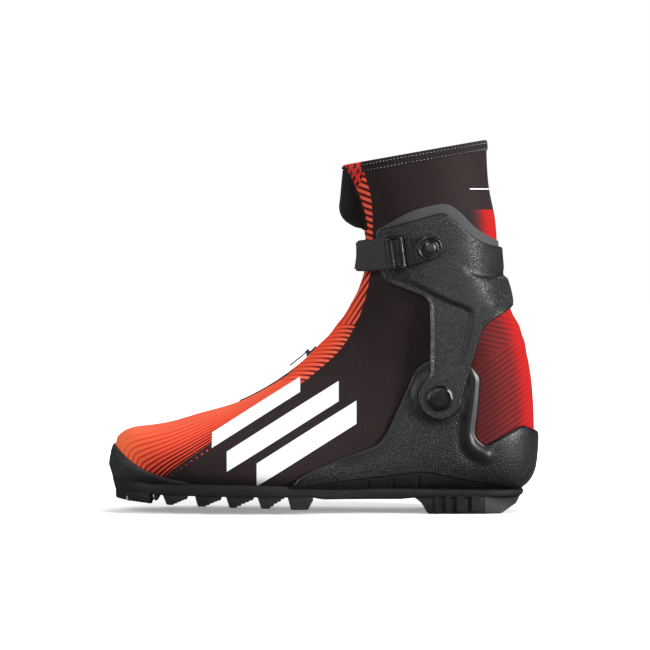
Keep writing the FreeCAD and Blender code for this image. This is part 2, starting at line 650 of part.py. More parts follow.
SOLE_TOP = size("sole_top")
UNDERSIDE = [
    (-243.0, 14.6), (-236.0, 14.2), (-226.0, 13.4), (-200.0, 12.6), (-160.0, 12.0), (-104.0, 11.4),
    (-96.0, 10.0), (-44.0, 10.0), (-34.0, 11.0), (41.0, 11.6), (45.0, 13.0),
]
SOLE_EDGE = [(45.0, 15.4), (41.5, 15.6), (-28.2, 28.2), (-119.0, 18.6), (-126.0, SOLE_TOP), (-243.0, SOLE_TOP)]
sole_block = prism(UNDERSIDE + SOLE_EDGE)
under_sole = form(0.25)
bar_x, bar_z = size("toe_bar_x"), size("toe_bar_z")
bar_half = 0.5 * size("toe_bar_exposed")
bar_pocket = Part.makeBox(11.0, 2 * bar_half, 30.0, Vector(bar_x - 5.5, -bar_half, -16.0))
bar_bore = rod(bar_x, bar_z, 0.5 * size("toe_bar_diameter") + 0.1, -15.2, 15.2)
# The sole also wraps up the sides under the chassis.
WRAP = [(-118.0, 18.4), (-28.2, 28.0), (41.5, 15.4), (41.5, 8.0), (-118.0, 8.0)]
wrap = form(2.6).common(prism(WRAP))
outsole = sole_plan().common(sole_block).fuse(wrap).cut(under_sole)
chassis_room = form(size("chassis_outer") + 0.15).common(chassis_outline)
outsole = outsole.cut(chassis_room).cut(bar_bore)
node("outsole", outsole)

# Forefoot lugs, front to rear: start, end, height of the ground face above the ground.
LUGS = [
    (-236.5, -211.0, 6.5), (-205.0, -187.5, 6.2), (-183.0, -165.0, 5.4),
    (-162.0, -144.0, 4.8), (-141.0, -122.5, 4.2), (-120.0, -104.0, 3.2),
]
tread_plan = sole_plan(1.2)
below_sole = prism([(x, z - 0.05) for x, z in UNDERSIDE] + [(45.0, -20.0), (-243.0, -20.0)])
groove_y = 0.5 * size("groove_spacing")
groove_half = 0.5 * size("groove_width")


def groove(x0, x1, roof):
    one = Part.makeBox(x1 - x0, 2 * groove_half, roof + 10.0, Vector(x0, -groove_y - groove_half, -10.0))
    return both(one)


lugs = []
for x0, x1, ground in LUGS:
    front_lean = 3.4 if (x0, x1, ground) == LUGS[0] else 0.6
    outline = [(x0 + 1.6, ground), (x1 - 5.0, ground), (x1 - 1.6, ground + 4.0), (x1, 16.0), (x0 - front_lean, 16.0)]
    lug = prism(outline).common(tread_plan)
    lugs.append(lug.cut(groove(x0 - 5.0, x1 + 5.0, ground + size("groove_depth"))))
tread = lugs[0].multiFuse(lugs[1:]).common(below_sole).cut(bar_pocket).cut(bar_bore)
node("forefoot_tread", tread)

HEEL_BLOCK = [(-24.0, 0.0), (25.0, 0.0), (34.5, 6.5), (38.0, 14.0), (-33.0, 14.0), (-28.0, 5.0)]
heel_tread = prism(HEEL_BLOCK).common(tread_plan).common(below_sole)
heel_tread = heel_tread.cut(groove(-60.0, 12.0, size("groove_depth")))
node("heel_tread", heel_tread.cut(outsole))

RAND = [(-250.0, 50.0), (-240.0, 47.0), (-232.0, 40.0), (-222.0, 32.0), (-206.0, 26.0), (-186.0, SOLE_TOP + 0.2)]
rand_zone = smooth_prism(RAND, [(-250.0, SOLE_TOP + 0.2)])
node("toe_rand", form(2.0).cut(form(0.3)).common(rand_zone))

# ---------------------------------------------------------------- zip

zip_rest = size("zip_rest")
coil_outer, coil_inner = zip_r + 2.6, zip_r + 0.4
coil = ring_sector(ZIP_CENTRE, coil_inner, coil_outer, -69.0, -42.6, zip_y - zip_half, zip_y + zip_half)
node("zipper_coil", coil)

slider = ring_sector(ZIP_CENTRE, zip_r - 1.6, zip_r - 0.4, zip_rest - 1.6, zip_rest + 1.6, zip_y - 4.0, zip_y + 4.0)
pin_radius = zip_r - 2.9
pin_angle = math.radians(zip_rest - 0.8)
PULL = (ZIP_CENTRE[0] + pin_radius * math.cos(pin_angle), ZIP_CENTRE[1] + pin_radius * math.sin(pin_angle))
ears = []
for side in (-1, 1):
    y0 = zip_y + side * 2.1
    ears.append(
        ring_sector(
            ZIP_CENTRE, pin_radius - 0.9, zip_r - 1.4, zip_rest - 1.3, zip_rest - 0.2, min(y0, y0 + side), max(y0, y0 + side)
        )
    )
pin = rod(PULL[0], PULL[1], 0.6, zip_y - 2.5, zip_y + 2.5)
node("zipper_slider", slider.multiFuse(ears + [pin]))

# At rest the pull leans in, so that its tip lies close to the instep.
pull_lean = 4.0
pull_down = math.degrees(pin_angle) - 90.0 - pull_lean
barrel = rod(PULL[0], PULL[1], 1.1, zip_y - 1.9, zip_y + 1.9)
tab = Part.makeBox(14.0, 3.8, 0.8, Vector(0.8, -1.9, -0.4))
grip = Part.makeBox(9.0, 6.0, 0.8, Vector(6.0, -3.0, -0.4))
finger_hole = Part.makeBox(5.0, 2.4, 6.0, Vector(10.0, -1.2, -3.0))
pull = tab.fuse(grip).cut(finger_hole)
pull.rotate(Vector(0, 0, 0), Vector(0, -1, 0), pull_down)
pull.translate(Vector(PULL[0], zip_y, PULL[1]))
node("zipper_pull", pull.fuse(barrel).cut(rod(PULL[0], PULL[1], 0.75, zip_y - 5, zip_y + 5)))

# ---------------------------------------------------------------- turned hardware
# Bodies drawn as half profiles (radius, height) and revolved; heights run outwards from the boot.


def axis_of(body, role):
    return next(f for f in body.Origin.OriginFeatures if f.Role == role)


def turned(label, profile, x, y, z, lateral):
    """Revolved body on an axis across the boot; profile and place are expressions on the sheet."""
    body = doc.addObject("PartDesign::Body", label)
    body.Label = label
    sketch = body.newObject("Sketcher::SketchObject", label + "_profile")
    sketch.AttachmentSupport = [(axis_of(body, "XZ_Plane"), "")]
    sketch.MapMode = "FlatFace"
    values = [(sheet_value(r), sheet_value(h)) for r, h in profile]
    count = len(values)
    for i in range(count):
        a, b = values[i], values[(i + 1) % count]
        sketch.addGeometry(Part.LineSegment(Vector(a[0], a[1], 0), Vector(b[0], b[1], 0)), False)
    for i in range(count):
        sketch.addConstraint(Sketcher.Constraint("Coincident", i, 2, (i + 1) % count, 1))
    for i, (r, h) in enumerate(profile):
        for kind, text, value in (("DistanceX", r, values[i][0]), ("DistanceY", h, values[i][1])):
            index = sketch.addConstraint(Sketcher.Constraint(kind, -1, 1, i, 1, value))
            if "_" in text:
                sketch.renameConstraint(index, f"{kind}_{i}")
                sketch.setExpression(f"Constraints.{kind}_{i}", with_sheet(text))
    turn = body.newObject("PartDesign::Revolution", label + "_turn")
    turn.Profile = sketch
    turn.ReferenceAxis = (axis_of(body, "Z_Axis"), [""])
    turn.Angle = 360.0
    side = 90.0 if lateral else -90.0
    body.Placement = Placement(Vector(0, 0, 0), Rotation(Vector(1, 0, 0), side))
    body.setExpression("Placement.Base.x", with_sheet(x))
    body.setExpression("Placement.Base.y", with_sheet(f"-1 * ({y})" if lateral else y))
    body.setExpression("Placement.Base.z", with_sheet(z))
    doc.recompute()
    NODES.append(body)
    return body


def with_sheet(text):
    """Expression with every alias looked up on the sheet."""
    out = text
    for alias in sorted(SIZES, key=len, reverse=True):
        out = out.replace(alias, "@" + str(list(SIZES).index(alias)) + ";")
    for i, alias in enumerate(SIZES):
        out = out.replace("@" + str(i) + ";", "sizes." + alias)
    return out


def sheet_value(text):
    """Number given by an expression of aliases, sums and products."""
    total = 0.0
    for term in text.replace("- ", "+ -").split("+ "):
        product = 1.0
        for factor in term.split("*"):
            word = factor.strip()
            sign = -1.0 if word.startswith("-") else 1.0
            word = word.lstrip("-").strip()
            product *= sign * (size(word) if word in SIZES else float(word))
        total += product
    return total


for side_name, is_lateral in (("lateral", True), ("medial", False)):
    bush_r = "0.5 * bush_diameter"
    shank_r = "0.5 * rivet_diameter"
    turned(
        "pivot_bush_" + side_name,
        [("0.5 * rivet_diameter + running_gap", "0"), (bush_r, "0"),
         (bush_r, "arm_outer - arm_inner"), ("0.5 * rivet_diameter + running_gap", "arm_outer - arm_inner")],
        "pivot_x", "arm_inner", "pivot_z", is_lateral,
    )
    turned(
        "pivot_rivet_" + side_name,
        [("0", "-3.4"), (shank_r, "-3.4"), (shank_r, "arm_outer - arm_inner + running_gap"),
         ("0.5 * rivet_head", "arm_outer - arm_inner + running_gap"),
         ("0.5 * rivet_head", "arm_outer - arm_inner + running_gap + rivet_head_thick"),
         ("0", "arm_outer - arm_inner + running_gap + rivet_head_thick")],
        "pivot_x", "arm_inner", "pivot_z", is_lateral,
    )
    turned(
        "pivot_cap_" + side_name,
        [("0", "1.2"), ("0.5 * rivet_head + running_gap", "1.2"), ("0.5 * rivet_head + running_gap", "0"),
         ("0.5 * cap_diameter", "0"), ("0.5 * cap_diameter", "1.1"), ("0.42 * cap_diameter", "cap_thick - 0.3"),
         ("0.3 * cap_diameter", "cap_thick"), ("0", "cap_thick")],
        "pivot_x", "arm_outer + 0.1", "pivot_z", is_lateral,
    )
    strap_shank = "0.5 * strap_rivet_shank"
    turned(
        "strap_rivet_" + side_name,
        [("0", "-4.5"), (strap_shank, "-4.5"), (strap_shank, "0"), ("0.5 * strap_rivet_head", "0"),
         ("0.5 * strap_rivet_head", "0.8"), ("0.3 * strap_rivet_head", "1.5"), ("0", "1.6")],
        "strap_x", "strap_rivet_seat", "strap_z", is_lateral,
    )

# Toe bar: a padded circle carried across the boot.
bar_body = doc.addObject("PartDesign::Body", "toe_bar")
bar_body.Label = "toe_bar"
bar_sketch = bar_body.newObject("Sketcher::SketchObject", "toe_bar_profile")
bar_sketch.AttachmentSupport = [(axis_of(bar_body, "XY_Plane"), "")]
bar_sketch.MapMode = "FlatFace"
bar_sketch.addGeometry(Part.Circle(Vector(0, 0, 0), Vector(0, 0, 1), 0.5 * size("toe_bar_diameter")), False)
bar_sketch.addConstraint(Sketcher.Constraint("Coincident", 0, 3, -1, 1))
bar_sketch.addConstraint(Sketcher.Constraint("Diameter", 0, size("toe_bar_diameter")))
bar_sketch.renameConstraint(1, "thickness")
bar_sketch.setExpression("Constraints.thickness", "sizes.toe_bar_diameter")
bar_pad = bar_body.newObject("PartDesign::Pad", "toe_bar_pad")
bar_pad.Profile = bar_sketch
bar_pad.Length = size("toe_bar_length")
bar_pad.setExpression("Length", "sizes.toe_bar_length")
bar_body.Placement = Placement(Vector(0, 0, 0), Rotation(Vector(1, 0, 0), -90.0))
bar_body.setExpression("Placement.Base.x", "sizes.toe_bar_x")
bar_body.setExpression("Placement.Base.y", "-0.5 * sizes.toe_bar_length")
bar_body.setExpression("Placement.Base.z", "sizes.toe_bar_z")
doc.recompute()
NODES.append(bar_body)

# ---------------------------------------------------------------- write out

doc.recompute()
for item in doc.Objects:
    if "Invalid" in item.State or "Error" in item.State:
        raise RuntimeError(f"{item.Label}: {item.State}")
os.makedirs("parts", exist_ok=True)
for item in NODES:
    shape = item.Shape
    if shape.isNull() or not shape.isValid():
        raise RuntimeError(f"{item.Label}: null or invalid shape")
    shape.exportStep(f"parts/{item.Label}.step")
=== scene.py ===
import math

import bmesh
import bpy
import numpy as np
from mathutils import Matrix, Vector
from mathutils.kdtree import KDTree


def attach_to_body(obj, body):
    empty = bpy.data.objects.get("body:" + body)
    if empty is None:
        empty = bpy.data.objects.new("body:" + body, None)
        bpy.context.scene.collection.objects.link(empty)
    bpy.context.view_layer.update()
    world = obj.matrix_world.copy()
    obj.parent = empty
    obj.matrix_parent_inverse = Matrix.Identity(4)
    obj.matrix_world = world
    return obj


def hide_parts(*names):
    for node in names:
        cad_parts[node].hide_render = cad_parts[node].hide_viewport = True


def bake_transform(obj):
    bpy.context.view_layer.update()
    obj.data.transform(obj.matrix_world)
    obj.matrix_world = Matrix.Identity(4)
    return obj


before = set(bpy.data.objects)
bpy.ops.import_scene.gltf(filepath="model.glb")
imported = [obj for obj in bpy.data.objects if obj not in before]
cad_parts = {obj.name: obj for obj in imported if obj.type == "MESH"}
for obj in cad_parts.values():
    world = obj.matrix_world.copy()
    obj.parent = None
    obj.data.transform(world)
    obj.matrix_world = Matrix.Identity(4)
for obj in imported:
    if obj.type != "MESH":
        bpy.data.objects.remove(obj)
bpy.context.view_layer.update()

MM = 0.001

# ------------------------------------------------------------------ foot form
# The same fan of cross-sections as the CAD part.  Lengths are in millimetres until a mesh is made.
# Places given as two numbers are (x, z) in the side view; fan angles are in degrees.

FAN = (-200.0, 214.0)
RIM_ANGLE = 10.1
TOE_ANGLE = -102.7
PIVOT = (-18.0, 78.5)
ZIP_CENTRE = (-217.0, 225.0)
ZIP_RADIUS = 163.0
TOE_Y = 4.6


def arc_points(centre, radius, first, last, count):
    """Points on an arc between two angles in degrees."""
    a = np.radians(np.linspace(first, last, count))
    return [(centre[0] + radius * math.cos(t), centre[1] + radius * math.sin(t)) for t in a]


FRONT_EDGE = (
    [(-90.0, 252.0), (-83.2, 234.8), (-74.6, 216.2), (-70.4, 202.6), (-68.3, 190.0), (-67.0, 176.0)]
    + [(-68.6, 163.0)]
    + arc_points(ZIP_CENTRE, ZIP_RADIUS, -30, -69, 6)
    + [(-180.0, 66.8), (-200.0, 61.0), (-217.0, 58.4), (-230.0, 55.8), (-237.3, 50.0), (-240.8, 39.0)]
)
REAR_EDGE = [
    (13.5, 275.0), (14.3, 252.3), (15.0, 235.0), (17.0, 215.0), (20.0, 200.0), (21.3, 187.0),
    (22.3, 172.0), (24.5, 157.0), (29.0, 143.0), (35.0, 131.0), (39.5, 118.0), (43.5, 99.0),
    (45.8, 82.0), (47.0, 65.0), (47.1, 50.0), (46.4, 36.0), (44.0, 26.0), (38.0, 19.0),
    (25.0, 15.4), (-10.0, 14.2), (-60.0, 13.8), (-110.0, 14.2), (-150.0, 15.0), (-190.0, 17.2),
    (-215.0, 19.3), (-229.0, 21.0), (-237.6, 25.5), (-240.8, 39.0),
]
# Fan angle, half width, widest point, front roundness, rear roundness, sideways shift.
STATIONS = np.array([
    (16.0, 43.5, 0.50, 2.3, 2.2, 0.0), (10.0, 43.0, 0.50, 2.3, 2.2, 0.0),
    (2.0, 41.8, 0.50, 2.3, 2.2, 0.0), (-8.0, 40.3, 0.51, 2.3, 2.2, 0.0),
    (-16.0, 39.2, 0.53, 2.3, 2.2, 0.0), (-24.0, 38.2, 0.55, 2.3, 2.1, 0.0),
    (-32.0, 37.3, 0.58, 2.25, 2.1, 0.0), (-38.0, 36.6, 0.62, 2.2, 2.3, 0.0),
    (-44.0, 36.4, 0.66, 2.15, 2.7, 0.0), (-52.0, 37.5, 0.70, 2.1, 3.0, 0.0),
    (-60.0, 41.0, 0.73, 2.1, 3.1, -0.5), (-68.0, 45.5, 0.72, 2.1, 3.1, -1.0),
    (-76.0, 48.3, 0.69, 2.1, 3.1, -1.0), (-84.0, 47.8, 0.65, 2.1, 2.9, 0.0),
    (-90.0, 44.0, 0.62, 2.2, 2.7, 1.3), (-95.0, 38.2, 0.60, 2.2, 2.6, 2.6),
    (-99.0, 30.0, 0.58, 2.2, 2.4, 3.8), (-101.5, 20.5, 0.55, 2.1, 2.2, 4.5),
    (-102.96, 7.0, 0.50, 2.0, 2.0, 4.8),
])


def spline(points, steps=1200):
    """Natural cubic curve through points, by chord length."""
    p = np.array(points, float)
    t = np.r_[0, np.cumsum(np.linalg.norm(np.diff(p, axis=0), axis=1))]
    n = len(t)
    h = np.diff(t)
    a = np.zeros((n, n))
    b = np.zeros((n, 2))
    a[0, 0] = a[-1, -1] = 1.0
    for i in range(1, n - 1):
        a[i, i - 1], a[i, i], a[i, i + 1] = h[i - 1], 2 * (h[i - 1] + h[i]), h[i]
        b[i] = 6 * ((p[i + 1] - p[i]) / h[i] - (p[i] - p[i - 1]) / h[i - 1])
    m = np.linalg.solve(a, b)
    s = np.linspace(0, t[-1], steps)
    i = np.clip(np.searchsorted(t, s, side="right") - 1, 0, n - 2)
    u, v, w = (s - t[i])[:, None], (t[i + 1] - s)[:, None], h[i][:, None]
    return (
        m[i] * v**3 / (6 * w) + m[i + 1] * u**3 / (6 * w)
        + (p[i] / w - m[i] * w / 6) * v + (p[i + 1] / w - m[i + 1] * w / 6) * u
    )


def fan_profile(points):
    """Angles and radii about FAN of a curve through points."""
    p = spline(points)
    angle = np.degrees(np.arctan2(p[:, 1] - FAN[1], p[:, 0] - FAN[0]))
    radius = np.hypot(p[:, 0] - FAN[0], p[:, 1] - FAN[1])
    order = np.argsort(angle)
    return angle[order], radius[order]


FRONT_RADII = fan_profile(FRONT_EDGE)
REAR_RADII = fan_profile(REAR_EDGE)


def monotone(angle, column):
    """Values of one STATIONS column, joined by slopes that never overshoot."""
    xs, ys = -STATIONS[:, 0], STATIONS[:, column]
    x = np.clip(-np.asarray(angle, float), xs[0], xs[-1])
    d = np.diff(ys) / np.diff(xs)
    slopes = np.zeros(len(xs))
    same = d[:-1] * d[1:] > 0
    slopes[1:-1][same] = (2 * d[:-1] * d[1:])[same] / (d[:-1] + d[1:])[same]
    i = np.clip(np.searchsorted(xs, x, side="right") - 1, 0, len(xs) - 2)
    h = xs[i + 1] - xs[i]
    t = (x - xs[i]) / h
    return (
        (2 * t**3 - 3 * t**2 + 1) * ys[i] + (t**3 - 2 * t**2 + t) * slopes[i] * h
        + (3 * t**2 - 2 * t**3) * ys[i + 1] + (t**3 - t**2) * slopes[i + 1] * h
    )


def form_grid(angles, columns):
    """Points and outward normals of the foot form: one row per fan angle, columns evenly spaced round
    the section from the front edge by way of -Y (the outer side of the boot)."""
    angles = np.asarray(angles, float)
    psi = np.linspace(0, 2 * math.pi, 1441)
    c, s = np.cos(psi), np.sin(psi)
    front = np.interp(angles, *FRONT_RADII)
    rear = np.interp(angles, *REAR_RADII)
    half, widest, n_front, n_rear, shift = [monotone(angles, k) for k in range(1, 6)]
    n = np.where(c[None, :] >= 0, n_front[:, None], n_rear[:, None])
    rho = (np.abs(c)[None, :] ** n + np.abs(s)[None, :] ** n) ** (-1 / n)
    cc, ss = rho * c, rho * s
    w = widest[:, None]
    share = np.where(cc >= 0, w - w * cc, w - (1 - w) * cc)
    r = front[:, None] + share * (rear - front)[:, None]
    y = -half[:, None] * ss + shift[:, None]
    steps = np.hypot(np.diff(r, axis=1), np.diff(y, axis=1))
    along = np.c_[np.zeros(len(angles)), np.cumsum(steps, axis=1)]
    target = np.linspace(0, 1, columns, endpoint=False)
    rr = np.array([np.interp(target * a[-1], a, v) for a, v in zip(along, r)])
    yy = np.array([np.interp(target * a[-1], a, v) for a, v in zip(along, y)])
    rad = np.radians(angles)[:, None]
    points = np.stack([FAN[0] + rr * np.cos(rad), yy, FAN[1] + rr * np.sin(rad)], axis=-1)
    return points, grid_normals(points)


def grid_normals(points):
    """Unit normals of a grid that is closed across its rows, turned outwards."""
    across = np.roll(points, -1, 1) - np.roll(points, 1, 1)
    down = np.gradient(points, axis=0)
    n = np.cross(across, down)
    return -n / np.maximum(np.linalg.norm(n, axis=-1, keepdims=True), 1e-9)


def smoothstep(x, low, high):
    """0 at low and 1 at high, with soft ends; low may be the larger of the two."""
    t = np.clip((x - low) / (high - low), 0, 1)
    return t * t * (3 - 2 * t)


# ------------------------------------------------------------------ flat outlines


def rounded(corners, radius, steps=5):
    """Closed outline with its corners replaced by curves of about the given radius."""
    p = np.array(corners, float)
    out = []
    for i in range(len(p)):
        before, here, after = p[i - 1], p[i], p[(i + 1) % len(p)]
        a, b = before - here, after - here
        la, lb = np.linalg.norm(a), np.linalg.norm(b)
        cut = min(radius, 0.45 * la, 0.45 * lb)
        start, end = here + a / la * cut, here + b / lb * cut
        for t in np.linspace(0, 1, steps):
            out.append((1 - t) ** 2 * start + 2 * t * (1 - t) * here + t**2 * end)
    return np.array(out)


def distance_to_line(x, z, line, closed=False):
    """Distance in the side view from points to a chain of segments, and the share along the chain."""
    q = np.stack([np.ravel(x), np.ravel(z)], axis=-1)
    line = np.array(line, float)
    if closed:
        line = np.vstack([line, line[:1]])
    best = np.full(len(q), 1e9)
    where = np.zeros(len(q))
    lengths = np.linalg.norm(np.diff(line, axis=0), axis=1)
    start = np.r_[0, np.cumsum(lengths)]
    for i in range(len(line) - 1):
        a, b = line[i], line[i + 1]
        d = b - a
        t = np.clip(((q - a) @ d) / max(d @ d, 1e-9), 0, 1)
        dist = np.linalg.norm(q - a - t[:, None] * d, axis=1)
        closer = dist < best
        best[closer] = dist[closer]
        where[closer] = start[i] + t[closer] * lengths[i]
    return best.reshape(np.shape(x)), (where / start[-1]).reshape(np.shape(x))


def inside(x, z, outline):
    """Whether points of the side view lie inside a closed outline."""
    q_x, q_z = np.ravel(x), np.ravel(z)
    p = np.array(outline, float)
    result = np.zeros(len(q_x), bool)
    for i in range(len(p)):
        (x0, z0), (x1, z1) = p[i - 1], p[i]
        if z0 == z1:
            continue
        crossing = (z0 > q_z) != (z1 > q_z)
        result ^= crossing & (q_x < (x1 - x0) * (q_z - z0) / (z1 - z0) + x0)
    return result.reshape(np.shape(x))


def depth_in(x, z, outline):
    """Distance inside an outline, negative outside."""
    d, _ = distance_to_line(x, z, outline, True)
    return np.where(inside(x, z, outline), d, -d)


# ------------------------------------------------------------------ mesh building


def coordinates(mesh):
    """Vertex places of a mesh, one row each, in its own units."""
    co = np.zeros(len(mesh.vertices) * 3, np.float32)
    mesh.vertices.foreach_get("co", co)
    return co.reshape(-1, 3)


def make_mesh(name, vertices, faces, material):
    """Smooth-shaded mesh object from millimetre coordinates."""
    mesh = bpy.data.meshes.new(name)
    mesh.from_pydata([tuple(v) for v in np.asarray(vertices, float) * MM], [], [tuple(f) for f in faces])
    mesh.validate()
    mesh.update()
    mesh.polygons.foreach_set("use_smooth", [True] * len(mesh.polygons))
    obj = bpy.data.objects.new(name, mesh)
    bpy.context.scene.collection.objects.link(obj)
    obj.data.materials.append(material)
    return obj


def store(obj, name, values):
    """Float attribute on the vertices, read by the material."""
    attribute = obj.data.attributes.new(name, "FLOAT", "POINT")
    attribute.data.foreach_set("value", np.asarray(values, np.float32).ravel())


def store_rest(obj):
    """Keeps the rest position in millimetres, so that printed patterns follow the cloth when it bends."""
    attribute = obj.data.attributes.new("rest_mm", "FLOAT_VECTOR", "POINT")
    attribute.data.foreach_set("vector", (coordinates(obj.data) / MM).ravel())


def attach(piece, body, slot, *nodes):
    """Puts a piece on its body, in place of the CAD nodes it shows. The slot is not used."""
    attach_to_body(piece, body)
    if nodes:
        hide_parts(*nodes)


def sharpen(obj, degrees):
    """Edges steeper than the angle stay crisp."""
    bm = bmesh.new()
    bm.from_mesh(obj.data)
    limit = math.radians(degrees)
    for e in bm.edges:
        if len(e.link_faces) == 2:
            e.smooth = e.calc_face_angle(0.0) < limit
    bm.to_mesh(obj.data)
    bm.free()


def grid_faces(rows, columns, closed):
    """Quads between the points of a grid; closed joins the last column to the first."""
    faces = []
    last = columns if closed else columns - 1
    for i in range(rows - 1):
        for j in range(last):
            k = (j + 1) % columns
            faces.append((i * columns + j, i * columns + k, (i + 1) * columns + k, (i + 1) * columns + j))
    return faces


def trimmed_sheet(name, base, field, outer, inner, material, extra=None):
    """Closed thin moulding lying on the foot form.

    base is the grid of foot points.  field says how far each point is inside the moulding, negative
    outside.  outer and inner turn cut points and their field value into the two skins.  Grid cells
    crossed by the edge are clipped along it."""
    columns = field.shape[1]
    keep = {}
    points = []
    depth = []
    edges = {}

    def corner(i, j):
        if (i, j) not in keep:
            keep[(i, j)] = len(points)
            points.append(base[i, j])
            depth.append(field[i, j])
        return keep[(i, j)]

    def cut(a, b):
        key = (a, b) if a < b else (b, a)
        if key not in edges:
            fa, fb = field[a], field[b]
            t = fa / (fa - fb)
            edges[key] = len(points)
            points.append(base[a] * (1 - t) + base[b] * t)
            depth.append(0.0)
        return edges[key]

    faces = []
    positive = field > 0
    wrap = np.roll(positive, -1, 1)
    any_in = positive[:-1] | positive[1:] | wrap[:-1] | wrap[1:]
    for i, j in zip(*np.nonzero(any_in)):
        k = (j + 1) % columns
        ring = [(i, j), (i, k), (i + 1, k), (i + 1, j)]
        polygon = []
        for n in range(4):
            a, b = ring[n], ring[(n + 1) % 4]
            if field[a] > 0:
                polygon.append(corner(*a))
            if (field[a] > 0) != (field[b] > 0):
                polygon.append(cut(a, b))
        if len(polygon) >= 3:
            faces.append(polygon)
    points = np.array(points)
    depth = np.array(depth)
    top = outer(points, depth)
    bottom = inner(points, depth)
    count = len(points)
    directed = {}
    for f in faces:
        for n in range(len(f)):
            directed[(f[n], f[(n + 1) % len(f)])] = True
    walls = [(b, a, a + count, b + count) for a, b in directed if (b, a) not in directed]
    under = [tuple(v + count for v in reversed(f)) for f in faces]
    obj = make_mesh(name, np.vstack([top, bottom]), [tuple(f) for f in faces] + under + walls, material)
    if extra:
        for key, values in extra(points, depth).items():
            store(obj, key, np.r_[values, values])
    return obj


def with_toe_cap(grid, normals):
    """Adds shrinking rows that close the flat end of the toe."""
    last = grid[-1]
    middle = last.mean(0)
    rows = [middle + (last - middle) * share for share in (0.8, 0.6, 0.4, 0.2, 0.02)]
    flat = np.broadcast_to(np.array([-0.98, 0.0, -0.2]), last.shape)
    turned = [flat] * len(rows)
    return np.concatenate([grid, np.array(rows)]), np.concatenate([normals, np.array(turned)])


NORMAL_TREE = {}


def on_form(points):
    """Outward normals of the foot form at points lying on it."""
    if not NORMAL_TREE:
        angles = np.linspace(20.0, TOE_ANGLE, 260)
        grid, normals = with_toe_cap(*form_grid(angles, 240))
        flat, flat_n = grid.reshape(-1, 3), normals.reshape(-1, 3)
        tree = KDTree(len(flat))
        for i, p in enumerate(flat):
            tree.insert(p, i)
        tree.balance()
        NORMAL_TREE["tree"], NORMAL_TREE["n"] = tree, flat_n
    out = np.zeros((len(points), 3))
    for i, p in enumerate(points):
        total = np.zeros(3)
        for _, k, dist in NORMAL_TREE["tree"].find_n(p, 4):
            total += NORMAL_TREE["n"][k] / (dist + 0.05)
        out[i] = total / np.linalg.norm(total)
    return out


def tube(points, radius, sides, closed=False):
    """Round cord along a chain of points: vertices and faces."""
    p = np.array(points, float)
    n = len(p)
    if closed:
        tangent = np.roll(p, -1, 0) - np.roll(p, 1, 0)
    else:
        tangent = np.gradient(p, axis=0)
    tangent /= np.linalg.norm(tangent, axis=1, keepdims=True)
    start = np.cross(tangent[0], (0.0, 0.0, 1.0))
    if np.linalg.norm(start) < 0.1:
        start = np.cross(tangent[0], (1.0, 0.0, 0.0))
    u = start / np.linalg.norm(start)
    vertices = []
    for i in range(n):
        u = u - tangent[i] * (u @ tangent[i])
        u /= np.linalg.norm(u)
        v = np.cross(tangent[i], u)
        for k in range(sides):
            a = 2 * math.pi * k / sides
            vertices.append(p[i] + radius * (math.cos(a) * u + math.sin(a) * v))
    faces = []
    for i in range(n if closed else n - 1):
        for k in range(sides):
            j, m = (i + 1) % n, (k + 1) % sides
            faces.append((i * sides + k, i * sides + m, j * sides + m, j * sides + k))
    if not closed:
        faces.append(tuple(reversed(range(sides))))
        faces.append(tuple((n - 1) * sides + k for k in range(sides)))
    return vertices, faces


def joined(parts):
    """One set of vertices and faces from many."""
    vertices, faces = [], []
    for v, f in parts:
        start = len(vertices)
        vertices.extend(v)
        faces.extend(tuple(k + start for k in face) for face in f)
    return vertices, faces


def clean(obj):
    """Merges doubled points and turns all faces outwards."""
    bm = bmesh.new()
    bm.from_mesh(obj.data)
    bmesh.ops.remove_doubles(bm, verts=bm.verts, dist=0.02 * MM)
    bmesh.ops.dissolve_degenerate(bm, edges=bm.edges, dist=1e-6)
    bmesh.ops.recalc_face_normals(bm, faces=bm.faces)
    bm.to_mesh(obj.data)
    bm.free()


# ------------------------------------------------------------------ materials


def linear(r, g, b):
    """Colour given as it looks on screen, 0 to 255."""
    shares = [c / 255 for c in (r, g, b)]
    return tuple(((c + 0.055) / 1.055) ** 2.4 if c > 10 / 255 else c / 12.92 for c in shares) + (1.0,)


class Value:
    """A number or colour flowing through a node material, with ordinary arithmetic."""

    def __init__(self, paint, socket):
        """The socket is the output of a node in the paint's material."""
        self.paint = paint
        self.socket = socket

    def __add__(self, other):
        return self.paint.math("ADD", self, other)

    def __sub__(self, other):
        return self.paint.math("SUBTRACT", self, other)

    def __rsub__(self, other):
        return self.paint.math("SUBTRACT", other, self)

    def __mul__(self, other):
        return self.paint.math("MULTIPLY", self, other)

    def __truediv__(self, other):
        return self.paint.math("DIVIDE", self, other)

    def __pow__(self, other):
        return self.paint.math("POWER", self, other)

    def __abs__(self):
        return self.paint.math("ABSOLUTE", self)

    def sin(self):
        return self.paint.math("SINE", self)

    def larger(self, other):
        return self.paint.math("MAXIMUM", self, other)


